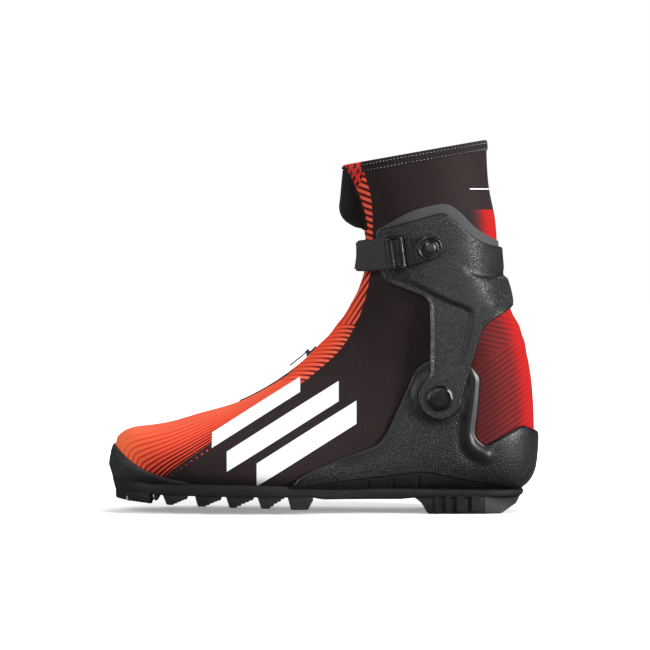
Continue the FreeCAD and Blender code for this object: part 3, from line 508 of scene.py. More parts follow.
class Paint:
    """Short way of writing a node material."""

    def __init__(self, name, colour, roughness, metallic=0.0, sheen=0.0, specular=0.5):
        self.material = bpy.data.materials.new(name)
        self.material.use_nodes = True
        self.tree = self.material.node_tree
        self.bsdf = self.tree.nodes["Principled BSDF"]
        for key, value in (
            ("Base Color", colour), ("Roughness", roughness), ("Metallic", metallic),
            ("Sheen Weight", sheen), ("Specular IOR Level", specular),
        ):
            self.set(key, value)

    def put(self, socket, value):
        """Links a value to an input, or sets the input to a plain number or colour."""
        if isinstance(value, Value):
            self.tree.links.new(value.socket, socket)
        else:
            socket.default_value = value

    def set(self, name, value):
        self.put(self.bsdf.inputs[name], value)

    def node(self, kind, values=(), output=0, **settings):
        """New shader node with its inputs filled by name or number; gives one of its outputs."""
        node = self.tree.nodes.new("ShaderNode" + kind)
        for key, value in settings.items():
            setattr(node, key, value)
        for key, value in dict(values).items():
            self.put(node.inputs[key], value)
        return Value(self, node.outputs[output])

    def math(self, operation, *values):
        return self.node("Math", enumerate(values), operation=operation)

    def attribute(self, name, output="Fac"):
        return self.node("Attribute", output=output, attribute_name=name)

    def split(self, vector):
        """The x, y and z of a vector."""
        node = self.tree.nodes.new("ShaderNodeSeparateXYZ")
        self.put(node.inputs[0], vector)
        return [Value(self, output) for output in node.outputs]

    def object_place(self, factors=(1.0, 1.0, 1.0)):
        """Place on the object, in metres times the factors."""
        place = self.node("TexCoord", output="Object")
        return self.node("VectorMath", {0: place, 1: factors}, operation="MULTIPLY")

    def noise(self, vector, scale, detail=2.0, rough=0.5):
        values = {"Vector": vector, "Scale": scale, "Detail": detail, "Roughness": rough}
        return self.node("TexNoise", values, "Fac")

    def cells(self, vector, scale):
        return self.node("TexVoronoi", {"Vector": vector, "Scale": scale}, "Distance")

    def between(self, value, low, high, to_low=0.0, to_high=1.0, kind="SMOOTHSTEP"):
        """Carries a value from one range to another and holds it there."""
        values = enumerate((value, low, high, to_low, to_high))
        return self.node("MapRange", values, interpolation_type=kind)

    def mix(self, factor, a, b):
        """Colour a where the factor is 0 and b where it is 1."""
        return self.node("Mix", {"Factor": factor, 6: a, 7: b}, 2, data_type="RGBA")

    def bump(self, height, distance, strength=1.0):
        """Raises the surface; the distance is in millimetres."""
        normal = self.node("Bump", {"Strength": strength, "Distance": distance * MM, "Height": height})
        self.put(self.bsdf.inputs["Normal"], normal)

    def slanted(self, x, z, angle, period):
        """Phase of lines that climb towards the heel at an angle in the side view."""
        a = math.radians(angle)
        return (z * math.cos(a) - x * math.sin(a)) / period

    def stripes(self, phase, duty, edge=0.06):
        """1 inside each stripe, which takes the given share of a unit of phase."""
        centred = abs(self.math("FRACT", phase) - 0.5)
        half = duty * 0.5
        return self.between(half - centred, -edge, edge)

    def crossing_lines(self, x, z):
        """Two sets of slanted lines laid over each other at the top of the front."""
        rising = self.stripes(self.slanted(x, z, 62, 3.6), 0.5, 0.1)
        return rising.larger(self.stripes(self.slanted(x, z, -57, 4.6), 0.42, 0.1))


ORANGE = linear(243, 112, 66)
BLACK_CLOTH = linear(31, 20, 20)
WHITE_PRINT = linear(236, 238, 240)
SEAM_SOFT = 0.12
MILLIMETRES = (1 / MM, 1 / MM, 1 / MM)
# Plain bars on the sides: first x, last x, lower edge at the first x, height.
SIDE_BARS = ((-141.0, -74.0, 19.5, 15.5), (-161.0, -86.0, 29.5, 13.5), (-171.0, -112.0, 45.5, 10.0))
BAR_SLOPE = 0.62
BAR_SOFT = 0.15
# Heights at which the front print changes: toe, instep, ankle, shaft.
INSTEP_FROM, ANKLE_FROM, SHAFT_FROM, CROSSING_FROM = 88.6, 127.0, 168.0, 205.0


def knit_height(p, rest):
    """Fine knit with a slight rib."""
    x, _, z = p.split(rest)
    rib = ((x + z * 0.15) * 7.0).sin()
    course = (z * 9.0).sin()
    return rib * course * 0.35 + p.noise(rest, 1.6, 3.0)


def front_print(p, x, z, front):
    """Contour stripes over the toe, then slanted stripes that change at the instep, ankle and shaft."""
    contour = p.attribute("contour")
    toe = p.mix(p.between(contour, 0.15, 0.85), linear(226, 72, 48), linear(238, 92, 58))
    toe = p.mix(p.between(x, -240.0, -206.0), ORANGE, toe)
    dark = p.stripes(contour**0.92 * 12.0, p.between(contour, 0.0, 0.9, 0.62, 0.2, "LINEAR"), 0.12)
    line = p.mix(p.between(contour, 0.12, 0.6), linear(62, 12, 12), linear(200, 50, 34))
    line = p.mix(p.between(x, -238.0, -214.0), linear(222, 82, 48), line)
    toe = p.mix(dark * p.between(contour, 0.98, 0.72), toe, line)

    light = p.mix(p.between(front, 0.0, 12.0), linear(244, 104, 78), linear(236, 78, 44))
    shade = p.mix(p.between(front, 1.0, 9.0), linear(92, 14, 12), linear(204, 50, 32))
    arch = front * (0.22 - front * 0.0245)
    width = p.between(front, 0.0, 14.0, 0.52, 0.12, "LINEAR")
    instep = p.mix(p.stripes((z - arch) / 2.85, width, 0.14), light, shade)
    width = p.between(front, 0.0, 9.0, 0.52, 0.36, "LINEAR")
    ankle = p.mix(p.stripes(p.slanted(x, z, 57, 2.9), width, 0.14), light, shade)
    width = p.between(front, 0.0, 9.5, 0.52, 0.4, "LINEAR")
    dark = p.stripes(p.slanted(x, z, -21, 3.95), width, 0.12) * p.between(front, 9.0, 7.6)
    shaft = p.mix(dark, light, linear(84, 14, 12))
    cross = p.mix(p.crossing_lines(x, z), linear(34, 12, 14), linear(228, 52, 48))
    cross_edge = z - (x * 2.2 + 380.9)
    cross_zone = p.between(cross_edge, -0.3, 0.3) * p.between(z, CROSSING_FROM, CROSSING_FROM + 1.0)

    colour = p.mix(p.between(z, INSTEP_FROM, INSTEP_FROM + 0.8), toe, instep)
    colour = p.mix(p.between(z, ANKLE_FROM, ANKLE_FROM + 0.8), colour, ankle)
    colour = p.mix(p.between(z, SHAFT_FROM, SHAFT_FROM + 1.0), colour, shaft)
    return p.mix(cross_zone, colour, cross)


def rear_print_and_shade(p, x, z, side):
    """Bright red at the back edge, darkening forwards partly as print and partly as painted shade, with
    faint lines in two directions.
    """
    back = p.attribute("rear_ridge")
    # The red darkening forwards from the back edge is partly print and partly painted shade.
    red = p.mix(p.between(back, 3.0, 15.0), linear(172, 22, 20), linear(118, 24, 26))
    red = p.mix(p.between(back, 12.0, 34.0), red, linear(84, 23, 24))
    low = p.stripes(p.slanted(x, z, 33, 3.3), 0.46, 0.12)
    high = p.stripes(p.slanted(x, z, -13, 3.4), 0.46, 0.12)
    turn = z - (x * 0.69 + 95.0)
    lines = p.mix(p.between(turn, -0.5, 0.5), low, high)
    faint = p.between(back, 2.0, 14.0, 0.1, 0.62) * p.between(z, 172.0, 180.0, 1.0, 0.3)
    colour = p.mix(lines * faint, red, linear(46, 16, 17))
    colour = p.mix(p.between(z, 172.0, 182.0) * p.between(back, 5.0, 17.0), colour, side)
    return p.mix(p.between(z, 204.6, 205.4), colour, side)


def dashes(p, z, front):
    """Row of dashes outside the toe stripes, growing with height."""
    size = p.between(z, 30.0, 58.0, 0.25, 0.8, "LINEAR")
    zone = p.between(size - abs(front + 2.6), -0.12, 0.12)
    row = p.stripes(p.attribute("front_along") / 4.2, size * 0.55, 0.05)
    return row * zone * p.between(z, 56.0, 60.0, 1.0, 0.0)


def white_marks(p, x, z):
    """Three plain slanted bars on each side and one thin bar at the back of the collar."""
    marks = p.between(z, 218.5, 218.7) * p.between(z, 219.4, 219.2) * p.between(x, 2.0, 2.3)
    for first, last, low, height in SIDE_BARS:
        rise = z - ((x - first) * BAR_SLOPE + low)
        in_x = p.between(x, first - BAR_SOFT, first + BAR_SOFT)
        in_x = in_x * p.between(x, last - BAR_SOFT, last + BAR_SOFT, 1.0, 0.0)
        in_z = p.between(rise, -BAR_SOFT, BAR_SOFT)
        in_z = in_z * p.between(rise, height - BAR_SOFT, height + BAR_SOFT, 1.0, 0.0)
        marks = marks.larger(in_x * in_z)
    return marks


def upper_material():
    """Printed cloth of the upper: striped front and rear, the rear red with painted shade forwards of the
    back edge, near-black sides with plain slanted bars.
    """
    p = Paint("upper_print", BLACK_CLOTH, 0.72, sheen=0.03, specular=0.12)
    rest = p.attribute("rest_mm", "Vector")
    x, _, z = p.split(rest)
    front = p.attribute("front_depth")
    speckle = p.noise(rest, 2.2, 3.0)
    side = p.mix(p.between(speckle, 0.35, 0.75), linear(31, 23, 24), linear(50, 38, 38))
    colour = p.mix(dashes(p, z, front), side, linear(222, 66, 60))
    colour = p.mix(p.between(front, -SEAM_SOFT, SEAM_SOFT), colour, front_print(p, x, z, front))
    in_rear = p.between(p.attribute("rear_depth"), -SEAM_SOFT, SEAM_SOFT)
    colour = p.mix(in_rear, colour, rear_print_and_shade(p, x, z, side))
    p.set("Base Color", p.mix(white_marks(p, x, z), colour, WHITE_PRINT))
    p.set("Roughness", p.between(speckle, 0.2, 0.8, 0.62, 0.82))
    p.bump(knit_height(p, rest), 0.12, 0.6)
    return p.material


def cloth_material(name, colour, light, roughness=0.85, crossed=False):
    """Plain cloth; crossed adds the crossing red lines over the front of the collar."""
    p = Paint(name, colour, roughness, sheen=0.04, specular=0.12)
    place = p.object_place(MILLIMETRES)
    speckle = p.noise(place, 1.8, 3.0)
    shown = p.mix(p.between(speckle, 0.3, 0.75), colour, light)
    if crossed:
        x, _, z = p.split(place)
        shown = p.mix(p.crossing_lines(x, z) * p.between(x, -70.6, -71.2), shown, linear(228, 52, 48))
    p.set("Base Color", shown)
    p.bump(p.cells(place, 1.4) + speckle, 0.18, 0.7)
    return p.material


def plastic_material(name, colour, light, roughness, grain=None):
    """Moulded plastic; the vertex attribute grain says where the pebbled texture is."""
    p = Paint(name, colour, roughness, specular=0.42)
    place = p.object_place(MILLIMETRES)
    pebble = p.noise(place, 0.95, 2.5, 0.6)
    where = p.attribute("grain") if grain is None else grain
    raised = p.between(pebble, 0.44, 0.60) * where
    p.set("Base Color", p.mix(raised, colour, light))
    p.set("Roughness", p.between(pebble, 0.3, 0.7, 0.12, -0.04) * where + roughness)
    p.bump(raised + p.noise(place, 4.0, 2.0) * 0.08, 0.3, 0.9)
    return p.material


def rubber_material(name, colour, light):
    """Moulded rubber with soft patches of dust."""
    p = Paint(name, colour, 0.6, specular=0.3)
    place = p.object_place(MILLIMETRES)
    fine = p.noise(place, 3.2, 3.0)
    p.set("Base Color", p.mix(p.between(p.noise(place, 0.09, 4.0), 0.3, 0.7), colour, light))
    p.set("Roughness", p.between(fine, 0.3, 0.7, 0.5, 0.72))
    p.bump(fine, 0.07, 0.6)
    return p.material


def metal_material(name, colour, roughness):
    """Metal brushed along y."""
    p = Paint(name, colour, roughness, metallic=1.0)
    brushed = p.noise(p.object_place((300.0, 4000.0, 300.0)), 1.0, 3.0)
    p.set("Roughness", p.between(brushed, 0.3, 0.7, roughness * 0.8, roughness * 1.3))
    p.bump(brushed, 0.01, 0.5)
    return p.material


def webbing_material():
    """Woven tape: fine diagonal threads."""
    p = Paint("webbing", linear(46, 45, 47), 0.55, sheen=0.08, specular=0.3)
    rest = p.attribute("rest_mm", "Vector")
    x, y, z = p.split(rest)
    run = x - z * 0.14 + y
    weave = ((z + run * 0.6) * 7.4).sin() * ((z - run * 1.7) * 5.6).sin()
    speckle = p.noise(rest, 1.4, 3.0)
    p.set("Base Color", p.mix(p.between(speckle, 0.3, 0.7), linear(38, 37, 39), linear(60, 59, 60)))
    p.bump(weave + speckle * 0.8, 0.14, 0.8)
    return p.material


M_UPPER = upper_material()
M_HEM = cloth_material("hem_cloth", linear(27, 23, 25), linear(44, 39, 41), crossed=True)
M_BINDING = cloth_material("binding_cloth", linear(27, 23, 25), linear(44, 39, 41))
M_LINING = cloth_material("lining_cloth", linear(30, 30, 33), linear(52, 52, 56))
M_PAD = cloth_material("pad_cloth", linear(64, 64, 67), linear(84, 84, 87), 0.7)
M_FLAP = cloth_material("flap_cloth", linear(20, 18, 19), linear(34, 31, 32), 0.75)
M_BOARD = cloth_material("fibre_board", linear(150, 132, 100), linear(172, 152, 118))
M_CHASSIS = plastic_material("chassis_plastic", linear(16, 16, 17), linear(30, 31, 32), 0.33)
M_CUFF = plastic_material("cuff_plastic", linear(18, 18, 19), linear(44, 44, 46), 0.33)
M_SMOOTH = plastic_material("smooth_plastic", linear(18, 18, 19), linear(26, 26, 27), 0.26, 0.12)
M_CAP = plastic_material("cap_plastic", linear(5, 5, 6), linear(8, 8, 9), 0.18, 0.12)
M_SOLE = rubber_material("sole_rubber", linear(17, 17, 18), linear(25, 25, 26))
M_TREAD = rubber_material("tread_rubber", linear(13, 13, 14), linear(21, 21, 22))
M_RAND = rubber_material("rand_rubber", linear(34, 34, 36), linear(46, 46, 48))
M_STEEL = metal_material("steel", linear(170, 170, 174), 0.3)
M_DARK_STEEL = metal_material("dark_steel", linear(70, 70, 74), 0.32)
M_WEB = webbing_material()
M_THREAD = cloth_material("thread", linear(140, 134, 132), linear(170, 164, 162))
M_LACE = cloth_material("lace_braid", linear(26, 26, 28), linear(60, 60, 62))


# ------------------------------------------------------------------ printed upper

FRONT_SEAM = spline([
    (-212.0, 5.0), (-205.0, 22.7), (-187.0, 38.1), (-167.0, 51.6), (-150.8, 62.3), (-118.6, 81.0),
    (-104.5, 92.5), (-83.9, 111.7), (-71.8, 133.4), (-64.9, 159.5), (-63.0, 185.0), (-63.2, 201.0),
    (-65.3, 218.4), (-68.1, 227.4), (-70.6, 238.0), (-76.0, 262.0),
], 110)
REAR_SEAM = spline([(6.0, 10.0), (5.0, 60.0), (2.0, 130.0), (0.0, 180.0), (0.0, 275.0)], 30)
FRONT_RIDGE = spline(FRONT_EDGE, 120)
BACK_RIDGE = spline(REAR_EDGE[:17], 80)
RIM_TILT = math.radians(RIM_ANGLE)
RIM_UP = np.array([-math.sin(RIM_TILT), 0.0, math.cos(RIM_TILT)])
HEM_DEPTH = 7.0
FABRIC_THICK = 1.8


def waves(points, length, count=22, seed=3):
    """Smooth noise of about unit height: a sum of plane waves of roughly the given length."""
    source = np.random.default_rng(seed)
    direction = source.normal(size=(count, 3))
    direction /= np.linalg.norm(direction, axis=1, keepdims=True)
    number = 2 * math.pi / (length * source.uniform(0.7, 1.5, count))
    phase = source.uniform(0, 2 * math.pi, count)
    return np.sin(points @ (direction * number[:, None]).T + phase).sum(-1) * math.sqrt(2.0 / count) / 1.4


def fan_angles(first, last, count):
    """Fan angles that lie closer together towards the toe."""
    share = np.linspace(0, 1, count)
    return first + (last - first) * (0.4 * share + 0.6 * np.sin(0.5 * math.pi * share))


def cloth_relief(points):
    """How far the cloth stands off the plain form: creases at the instep and above the heel."""
    x, z = points[..., 0], points[..., 2]
    instep = smoothstep(z, 70, 95) * smoothstep(z, 158, 128) * smoothstep(x, -40, -78)
    achilles = smoothstep(z, 95, 112) * smoothstep(z, 150, 134) * smoothstep(x, 8, 24)
    creases = waves(points * np.array([0.55, 0.35, 1.5]), 17.0, seed=5)
    soft = waves(points, 46.0, seed=9)
    return 0.16 * soft + 0.42 * instep * creases + 0.45 * achilles * creases


def seam_groove(points):
    """Shallow groove where the panels are joined."""
    x, z = points[..., 0], points[..., 2]
    front, _ = distance_to_line(x, z, FRONT_SEAM)
    rear, _ = distance_to_line(x, z, REAR_SEAM)
    nearest = np.minimum(front, rear)
    return -0.32 * np.exp(-((nearest / 0.9) ** 2))


def rim_drop(points):
    """Distance of points below the plane of the rim."""
    rim_point = np.array([FAN[0], 0.0, FAN[1]])
    return -((points - rim_point) @ RIM_UP)


def skin_mesh(name, angles, columns, step, outer_offset, thickness, material, relief):
    """Closed skin over the foot form, open at the rim; its inner face is coarser, by step."""
    grid, normals = form_grid(angles, columns)
    offset = outer_offset + relief(grid)
    outer = grid + normals * offset[..., None]
    inner = (grid - normals * (thickness - outer_offset))[::step, ::step]
    rows, inner_rows, inner_columns = len(angles), inner.shape[0], inner.shape[1]
    count = rows * columns
    faces = grid_faces(rows, columns, True)
    faces += [tuple(v + count for v in reversed(f)) for f in grid_faces(inner_rows, inner_columns, True)]
    for k in range(inner_columns):
        fine = [(step * k + n) % columns for n in range(step + 1)]
        faces.append(tuple(fine[::-1]) + (count + k, count + (k + 1) % inner_columns))
    toe = (rows - 1) * columns
    toe_inner = count + (inner_rows - 1) * inner_columns
    middle = outer[-1].mean(0)
    middle_inner = inner[-1].mean(0)
    vertices = np.vstack([outer.reshape(-1, 3), inner.reshape(-1, 3), middle[None], middle_inner[None]])
    last = len(vertices) - 2
    faces += [(toe + k, toe + (k + 1) % columns, last) for k in range(columns)]
    faces += [(toe_inner + (k + 1) % inner_columns, toe_inner + k, last + 1) for k in range(inner_columns)]
    return make_mesh(name, vertices, faces, material)


def upper_fabric():
    """The whole printed upper as one skin."""
    skin = skin_mesh(
        "upper_fabric", fan_angles(RIM_ANGLE - 0.6, TOE_ANGLE, 289), columns=312, step=4,
        outer_offset=0.0, thickness=FABRIC_THICK, material=M_UPPER,
        relief=lambda p: cloth_relief(p) + seam_groove(p),
    )
    places = coordinates(skin.data) / MM
    x, z = places[:, 0], places[:, 2]
    in_front = inside(x, z, np.vstack([FRONT_SEAM, [(-290.0, 262.0), (-290.0, 5.0)]]))
    in_rear = inside(x, z, np.vstack([REAR_SEAM, [(90.0, 275.0), (90.0, 10.0)]]))
    front, along = distance_to_line(x, z, FRONT_SEAM)
    rear, _ = distance_to_line(x, z, REAR_SEAM)
    ridge, _ = distance_to_line(x, z, FRONT_RIDGE)
    back, _ = distance_to_line(x, z, BACK_RIDGE)
    seam_length = np.linalg.norm(np.diff(FRONT_SEAM, axis=0), axis=1).sum()
    store(skin, "front_depth", np.where(in_front, front, -front))
    store(skin, "rear_depth", np.where(in_rear, rear, -rear))
    store(skin, "contour", front / np.maximum(front + ridge, 0.01))
    store(skin, "rear_ridge", back)
    store(skin, "front_along", along * seam_length)
    store_rest(skin)
    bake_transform(skin)
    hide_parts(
        "front_panel", "side_panel_lateral", "side_panel_medial", "heel_panel", "instep_gusset",
        "achilles_gusset", "collar", "shaft_front_panel", "shaft_rear_panel",
    )


def rim_columns(columns, drops):
    """Points and normals of the form at set distances below the rim, one list per column."""
    angles = np.linspace(11.0, -4.0, 60)
    grid, normals = form_grid(angles, columns)
    below = rim_drop(grid)
    points = np.zeros((len(drops), columns, 3))
    outward = np.zeros((len(drops), columns, 3))
    for j in range(columns):
        for k in range(3):
            points[:, j, k] = np.interp(drops, below[:, j], grid[:, j, k])
            outward[:, j, k] = np.interp(drops, below[:, j], normals[:, j, k])
    outward /= np.linalg.norm(outward, axis=-1, keepdims=True)
    return points, outward


# Section of the hem band: distance below the rim, distance off the form.
HEM_PROFILE = [
    (HEM_DEPTH, 0.1), (HEM_DEPTH - 0.35, 0.62), (5.0, 0.78), (3.0, 0.74), (1.2, 0.6), (0.45, 0.35),
    (0.08, -0.2), (-0.1, -0.9), (0.08, -1.7), (0.5, -2.2), (1.4, -2.5), (3.0, -2.6), (5.4, -2.6),
    (HEM_DEPTH - 0.3, -2.5), (HEM_DEPTH, -1.9),
]
HEM_COLUMNS = 280
STITCH_PITCH, STITCH_LENGTH, STITCH_RADIUS = 2.5, 0.8, 0.24
# Rows of stitches: distance below the rim, share of a pitch the row is shifted by.
STITCH_ROWS = ((1.9, 0.0), (5.9, 0.5))


def collar_hem():
    """Rolled band round the rim."""
    points, outward = rim_columns(HEM_COLUMNS, [max(drop, 0.0) for drop, _ in HEM_PROFILE])
    ripple = 0.12 * waves(points[0], 11.0, seed=12)
    vertices = np.zeros((len(HEM_PROFILE), HEM_COLUMNS, 3))
    for i, (drop, offset) in enumerate(HEM_PROFILE):
        lift = max(-drop, 0.0)
        swell = ripple if offset > -2.4 else 0.0
        vertices[i] = points[i] + outward[i] * (offset + np.asarray(swell)[..., None]) + RIM_UP * lift
    vertices = vertices.transpose(1, 0, 2)
    faces = []
    n = len(HEM_PROFILE)
    for j in range(HEM_COLUMNS):
        k = (j + 1) % HEM_COLUMNS
        for i in range(n):
            m = (i + 1) % n
            faces.append((j * n + i, k * n + i, k * n + m, j * n + m))
    hem = make_mesh("collar_hem_band", vertices.reshape(-1, 3), faces, M_HEM)
    clean(hem)
    attach(hem, "cuff", "lining", "collar_hem")


def hem_stitches():
    """Two rows of short stitches along the hem, their ends sunk into the cloth."""
    parts = []
    for drop, shift in STITCH_ROWS:
        line, out = rim_columns(960, [drop])
        line, out = line[0] + out[0] * 0.85, out[0]
        length = np.r_[0, np.cumsum(np.linalg.norm(np.diff(line, axis=0), axis=1))]
        for s in np.arange(shift * STITCH_PITCH, length[-1] - 1.0, STITCH_PITCH):
            along = (s, s + STITCH_LENGTH / 2, s + STITCH_LENGTH)
            ends = np.array([[np.interp(t, length, line[:, c]) for c in range(3)] for t in along])
            sunk = out[int(np.searchsorted(length, s))] * 0.35
            ends[0] -= sunk
            ends[2] -= sunk
            parts.append(tube(ends, STITCH_RADIUS, sides=6))
    stitches = make_mesh("hem_stitches", *joined(parts), M_THREAD)
    attach(stitches, "cuff", "rear_fabric")


def lining():
    """Padded lining, seen inside the collar."""

    def recess(p):
        below = rim_drop(p)
        return -0.1 * smoothstep(below, 5.0, 9.0) * smoothstep(below, 80.0, 60.0)

    skin = skin_mesh(
        "lining_sock", fan_angles(8.4, -98.0, 97), columns=144, step=2,
        outer_offset=-3.4, thickness=3.0, material=M_LINING, relief=recess,
    )
    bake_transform(skin)
    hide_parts("inner_liner", "shaft_lining", "tongue", "shaft_tongue")


def front_line(angle, y):
    """Point of the front of the form at a fan angle and a distance across."""
    grid, normals = form_grid([angle + 0.2, angle, angle - 0.2], 720)
    row = np.r_[grid[1, 540:], grid[1, :180]]
    out = np.r_[normals[1, 540:], normals[1, :180]]
    order = np.argsort(row[:, 1])
    pick = [np.interp(y, row[order, 1], row[order, k]) for k in range(3)]
    n = np.array([np.interp(y, row[order, 1], out[order, k]) for k in range(3)])
    return np.array(pick), n / np.linalg.norm(n)


FLAP_FRONT = np.array([
    (-83.8, 234.0), (-85.2, 222.0), (-86.8, 210.5), (-85.9, 205.4), (-83.9, 202.6), (-76.0, 195.3),
    (-70.0, 192.2),
])
FLAP_HALF = 15.0


def flap_rise(angles):
    """How far the flap stands off the front of the shaft at each fan angle."""
    dx, dz = FLAP_FRONT[:, 0] - FAN[0], FLAP_FRONT[:, 1] - FAN[1]
    angle = np.degrees(np.arctan2(dz, dx))
    order = np.argsort(angle)
    reach = np.interp(angles, angle[order], np.hypot(dx, dz)[order])
    return np.interp(angles, *FRONT_RADII) - reach


def padded(piece, voxel, pressure, cap, pinned):
    """Swells a closed shape into a pad by a short cloth simulation; pinned points stay where they are.

    The simulation runs at ten times the size, where cloth behaves like a cushion.  No point moves
    more than cap, in millimetres."""
    scale = 10.0
    scene = bpy.context.scene
    piece.data.transform(Matrix.Scale(scale, 4))
    remesh = piece.modifiers.new("even", "REMESH")
    remesh.mode = "VOXEL"
    remesh.voxel_size = voxel * MM * scale
    bpy.context.view_layer.update()
    graph = bpy.context.evaluated_depsgraph_get()
    even = bpy.data.meshes.new_from_object(piece.evaluated_get(graph))
    piece.modifiers.clear()
    piece.data = even
    start = coordinates(even)
    fixed = pinned(start / scale / MM)
    moved = np.zeros_like(start)
    group = piece.vertex_groups.new(name="held")
    group.add([int(i) for i in np.nonzero(fixed)[0]], 1.0, "REPLACE")
    cloth = piece.modifiers.new("cloth", "CLOTH")
    cloth.settings.quality = 6
    cloth.settings.mass = 0.3
    cloth.settings.bending_stiffness = 0.6
    cloth.settings.use_pressure = True
    cloth.settings.uniform_pressure_force = pressure
    cloth.settings.effector_weights.gravity = 0.0
    cloth.settings.vertex_group_mass = "held"
    for frame_number in range(1, 21):
        scene.frame_set(frame_number)
    graph = bpy.context.evaluated_depsgraph_get()
    moved = coordinates(piece.evaluated_get(graph).to_mesh()) - start
    piece.modifiers.clear()
    piece.vertex_groups.clear()
    scene.frame_set(1)
    length = np.linalg.norm(moved, axis=1, keepdims=True)
    limit = cap * MM * scale
    moved *= np.minimum(1.0, limit / np.maximum(length, 1e-9))
    even.vertices.foreach_set("co", (start + moved).ravel())
    even.transform(Matrix.Scale(1 / scale, 4))
    even.polygons.foreach_set("use_smooth", [True] * len(even.polygons))
    even.update()
    rounder = piece.modifiers.new("round", "SUBSURF")
    rounder.levels = rounder.render_levels = 1


def front_flap():
    """Padded flap over the front of the shaft: a thick pad with sewn channels, bound along its edge."""
    angles = np.linspace(9.4, -9.4, 46)
    across = np.linspace(-1, 1, 33)
    front, back = [], []
    for angle, rise in zip(angles, np.maximum(flap_rise(angles) - 0.7, 0.9)):
        for s in across:
            point, n = front_line(angle, s * FLAP_HALF)
            crown = max(1 - abs(s) ** 5, 0.0) ** 0.5
            channel = 0.35 * math.exp(-(((abs(s) - 0.55) / 0.07) ** 2))
            front.append(point + n * (1.0 + (rise - 1.0) * crown - channel * crown))
            back.append(point + n * 0.5)
    rows, columns = len(angles), len(across)
    count = rows * columns
    faces = grid_faces(rows, columns, False)
    faces += [tuple(v + count for v in reversed(f)) for f in grid_faces(rows, columns, False)]
    edge = list(range(columns)) + [i * columns + columns - 1 for i in range(1, rows)]
    edge += [(rows - 1) * columns + k for k in range(columns - 2, -1, -1)]
    edge += [i * columns for i in range(rows - 2, 0, -1)]
    faces += [(a, b, b + count, a + count) for a, b in zip(edge, edge[1:] + edge[:1])]
    flap = make_mesh("front_flap_pad", front + back, faces, M_FLAP)
    clean(flap)
    rim = np.array([0.5 * (np.array(front[k]) + np.array(back[k])) for k in edge])

    def held(points):
        return np.linalg.norm(points[:, None, :] - rim[None, :, :], axis=-1).min(1) < 2.0

    padded(flap, voxel=0.9, pressure=3.0, cap=0.9, pinned=held)
    piping = 0.25 * np.roll(rim, 1, 0) + 0.5 * rim + 0.25 * np.roll(rim, -1, 0)
    binding = make_mesh("flap_binding", *tube(piping, 0.8, closed=True, sides=10), M_BINDING)
    attach(flap, "cuff", "lining", "front_flap")
    attach(binding, "cuff", "lining")


# ------------------------------------------------------------------ mouldings


def side_field(grid, outline):
    """Field of a moulding whose outline is given in the side view."""
    return depth_in(grid[..., 0], grid[..., 2], outline)


def edge_profile(depth, low, high, radius):
    """Height across a rounded edge: low at the edge itself, high further in than the radius."""
    s = np.clip(depth / radius, 0, 1)
    return low + (high - low) * np.sqrt(np.maximum(1 - (1 - s) ** 2, 0))


CHASSIS_OUTLINE = rounded(
    [(-119.0, 19.0), (-111.0, 27.3), (-88.0, 36.6), (-60.3, 47.1), (-53.0, 56.4), (-34.0, 98.0),
     (-28.2, 103.6), (-12.0, 105.4), (3.8, 100.0), (9.5, 92.5), (8.5, 77.2), (5.7, 52.7), (12.2, 46.2),
     (37.7, 60.0), (49.5, 53.6), (70.0, 50.0), (70.0, 12.0), (41.5, 16.0), (-28.2, 28.6)],
    3.4,
)
ARM_PANEL = rounded(
    [(-50.0, 168.0), (-31.0, 154.0), (-16.0, 145.5), (2.2, 138.0), (3.4, 133.0), (0.0, 117.0),
     (-4.0, 102.4), (-11.0, 96.0), (-23.5, 92.0), (-60.0, 92.0)],
    5.0,
)
CUFF_OUTLINE = rounded(
    [(-57.5, 191.7), (-34.0, 198.2), (-17.0, 203.2), (-11.5, 200.8), (3.4, 186.6), (11.5, 182.2),
     (25.2, 179.0), (60.0, 178.0), (60.0, 143.5), (34.0, 142.0), (28.6, 138.0), (15.0, 129.7),
     (10.5, 124.4), (3.8, 102.4), (-3.6, 76.0)]
    + arc_points(PIVOT, 15.0, -10, -190, 15)
    + [(-31.4, 85.5), (-25.4, 94.5), (-25.2, 141.4), (-28.2, 146.3), (-36.3, 149.6), (-53.7, 156.5)]
    + [(-57.1, 164.4)],
    3.0,
)
PAD_OUTLINE = rounded(
    [(-61.0, 190.5), (-55.4, 194.0), (-39.2, 203.5), (-25.0, 207.6), (-16.5, 209.2), (-10.8, 207.8),
     (-4.7, 203.5), (5.5, 192.6), (21.7, 183.2), (60.0, 181.0), (60.0, 160.0), (22.0, 146.0),
     (-22.0, 150.0), (-40.0, 156.0), (-56.0, 166.0)],
    6.0,
)
RAND_OUTLINE = np.vstack([
    spline([
        (-251.0, 50.0), (-241.0, 47.6), (-232.0, 40.6), (-222.0, 33.0), (-208.0, 26.8), (-186.0, 21.6),
    ], 40),
    [(-180.0, 15.0), (-260.0, 15.0)],
])


def lifted(height):
    """Skin at a distance from the foot form: a number, or worked out from the points and their depth."""

    def skin(points, depth):
        h = height(points, depth) if callable(height) else height
        return points + on_form(points) * np.reshape(h, (-1, 1))

    return skin


def moulding(name, angles, columns, outline, high, low, radius, material, relief=None):
    """Thin moulding on the foot form, held between two offsets from it, with rounded edges."""
    grid, normals = form_grid(angles, columns)
    if angles[-1] < TOE_ANGLE + 0.2:
        grid, _ = with_toe_cap(grid, normals)

    def height(points, depth):
        h = edge_profile(depth, max(low + 0.25, high - radius), high, radius)
        return h + relief(points, depth) if relief else h

    return trimmed_sheet(
        name, grid, side_field(grid, outline), lifted(height), lifted(low), material,
        lambda points, depth: {"grain": 0.8 * smoothstep(depth, 0.6, 2.2)},
    )


# Distances from the middle plane: pivot face of the chassis, inner and outer faces of the cuff arms.
PAD_FACE = 40.75
ARM_INNER, ARM_OUTER = 41.0, 44.2


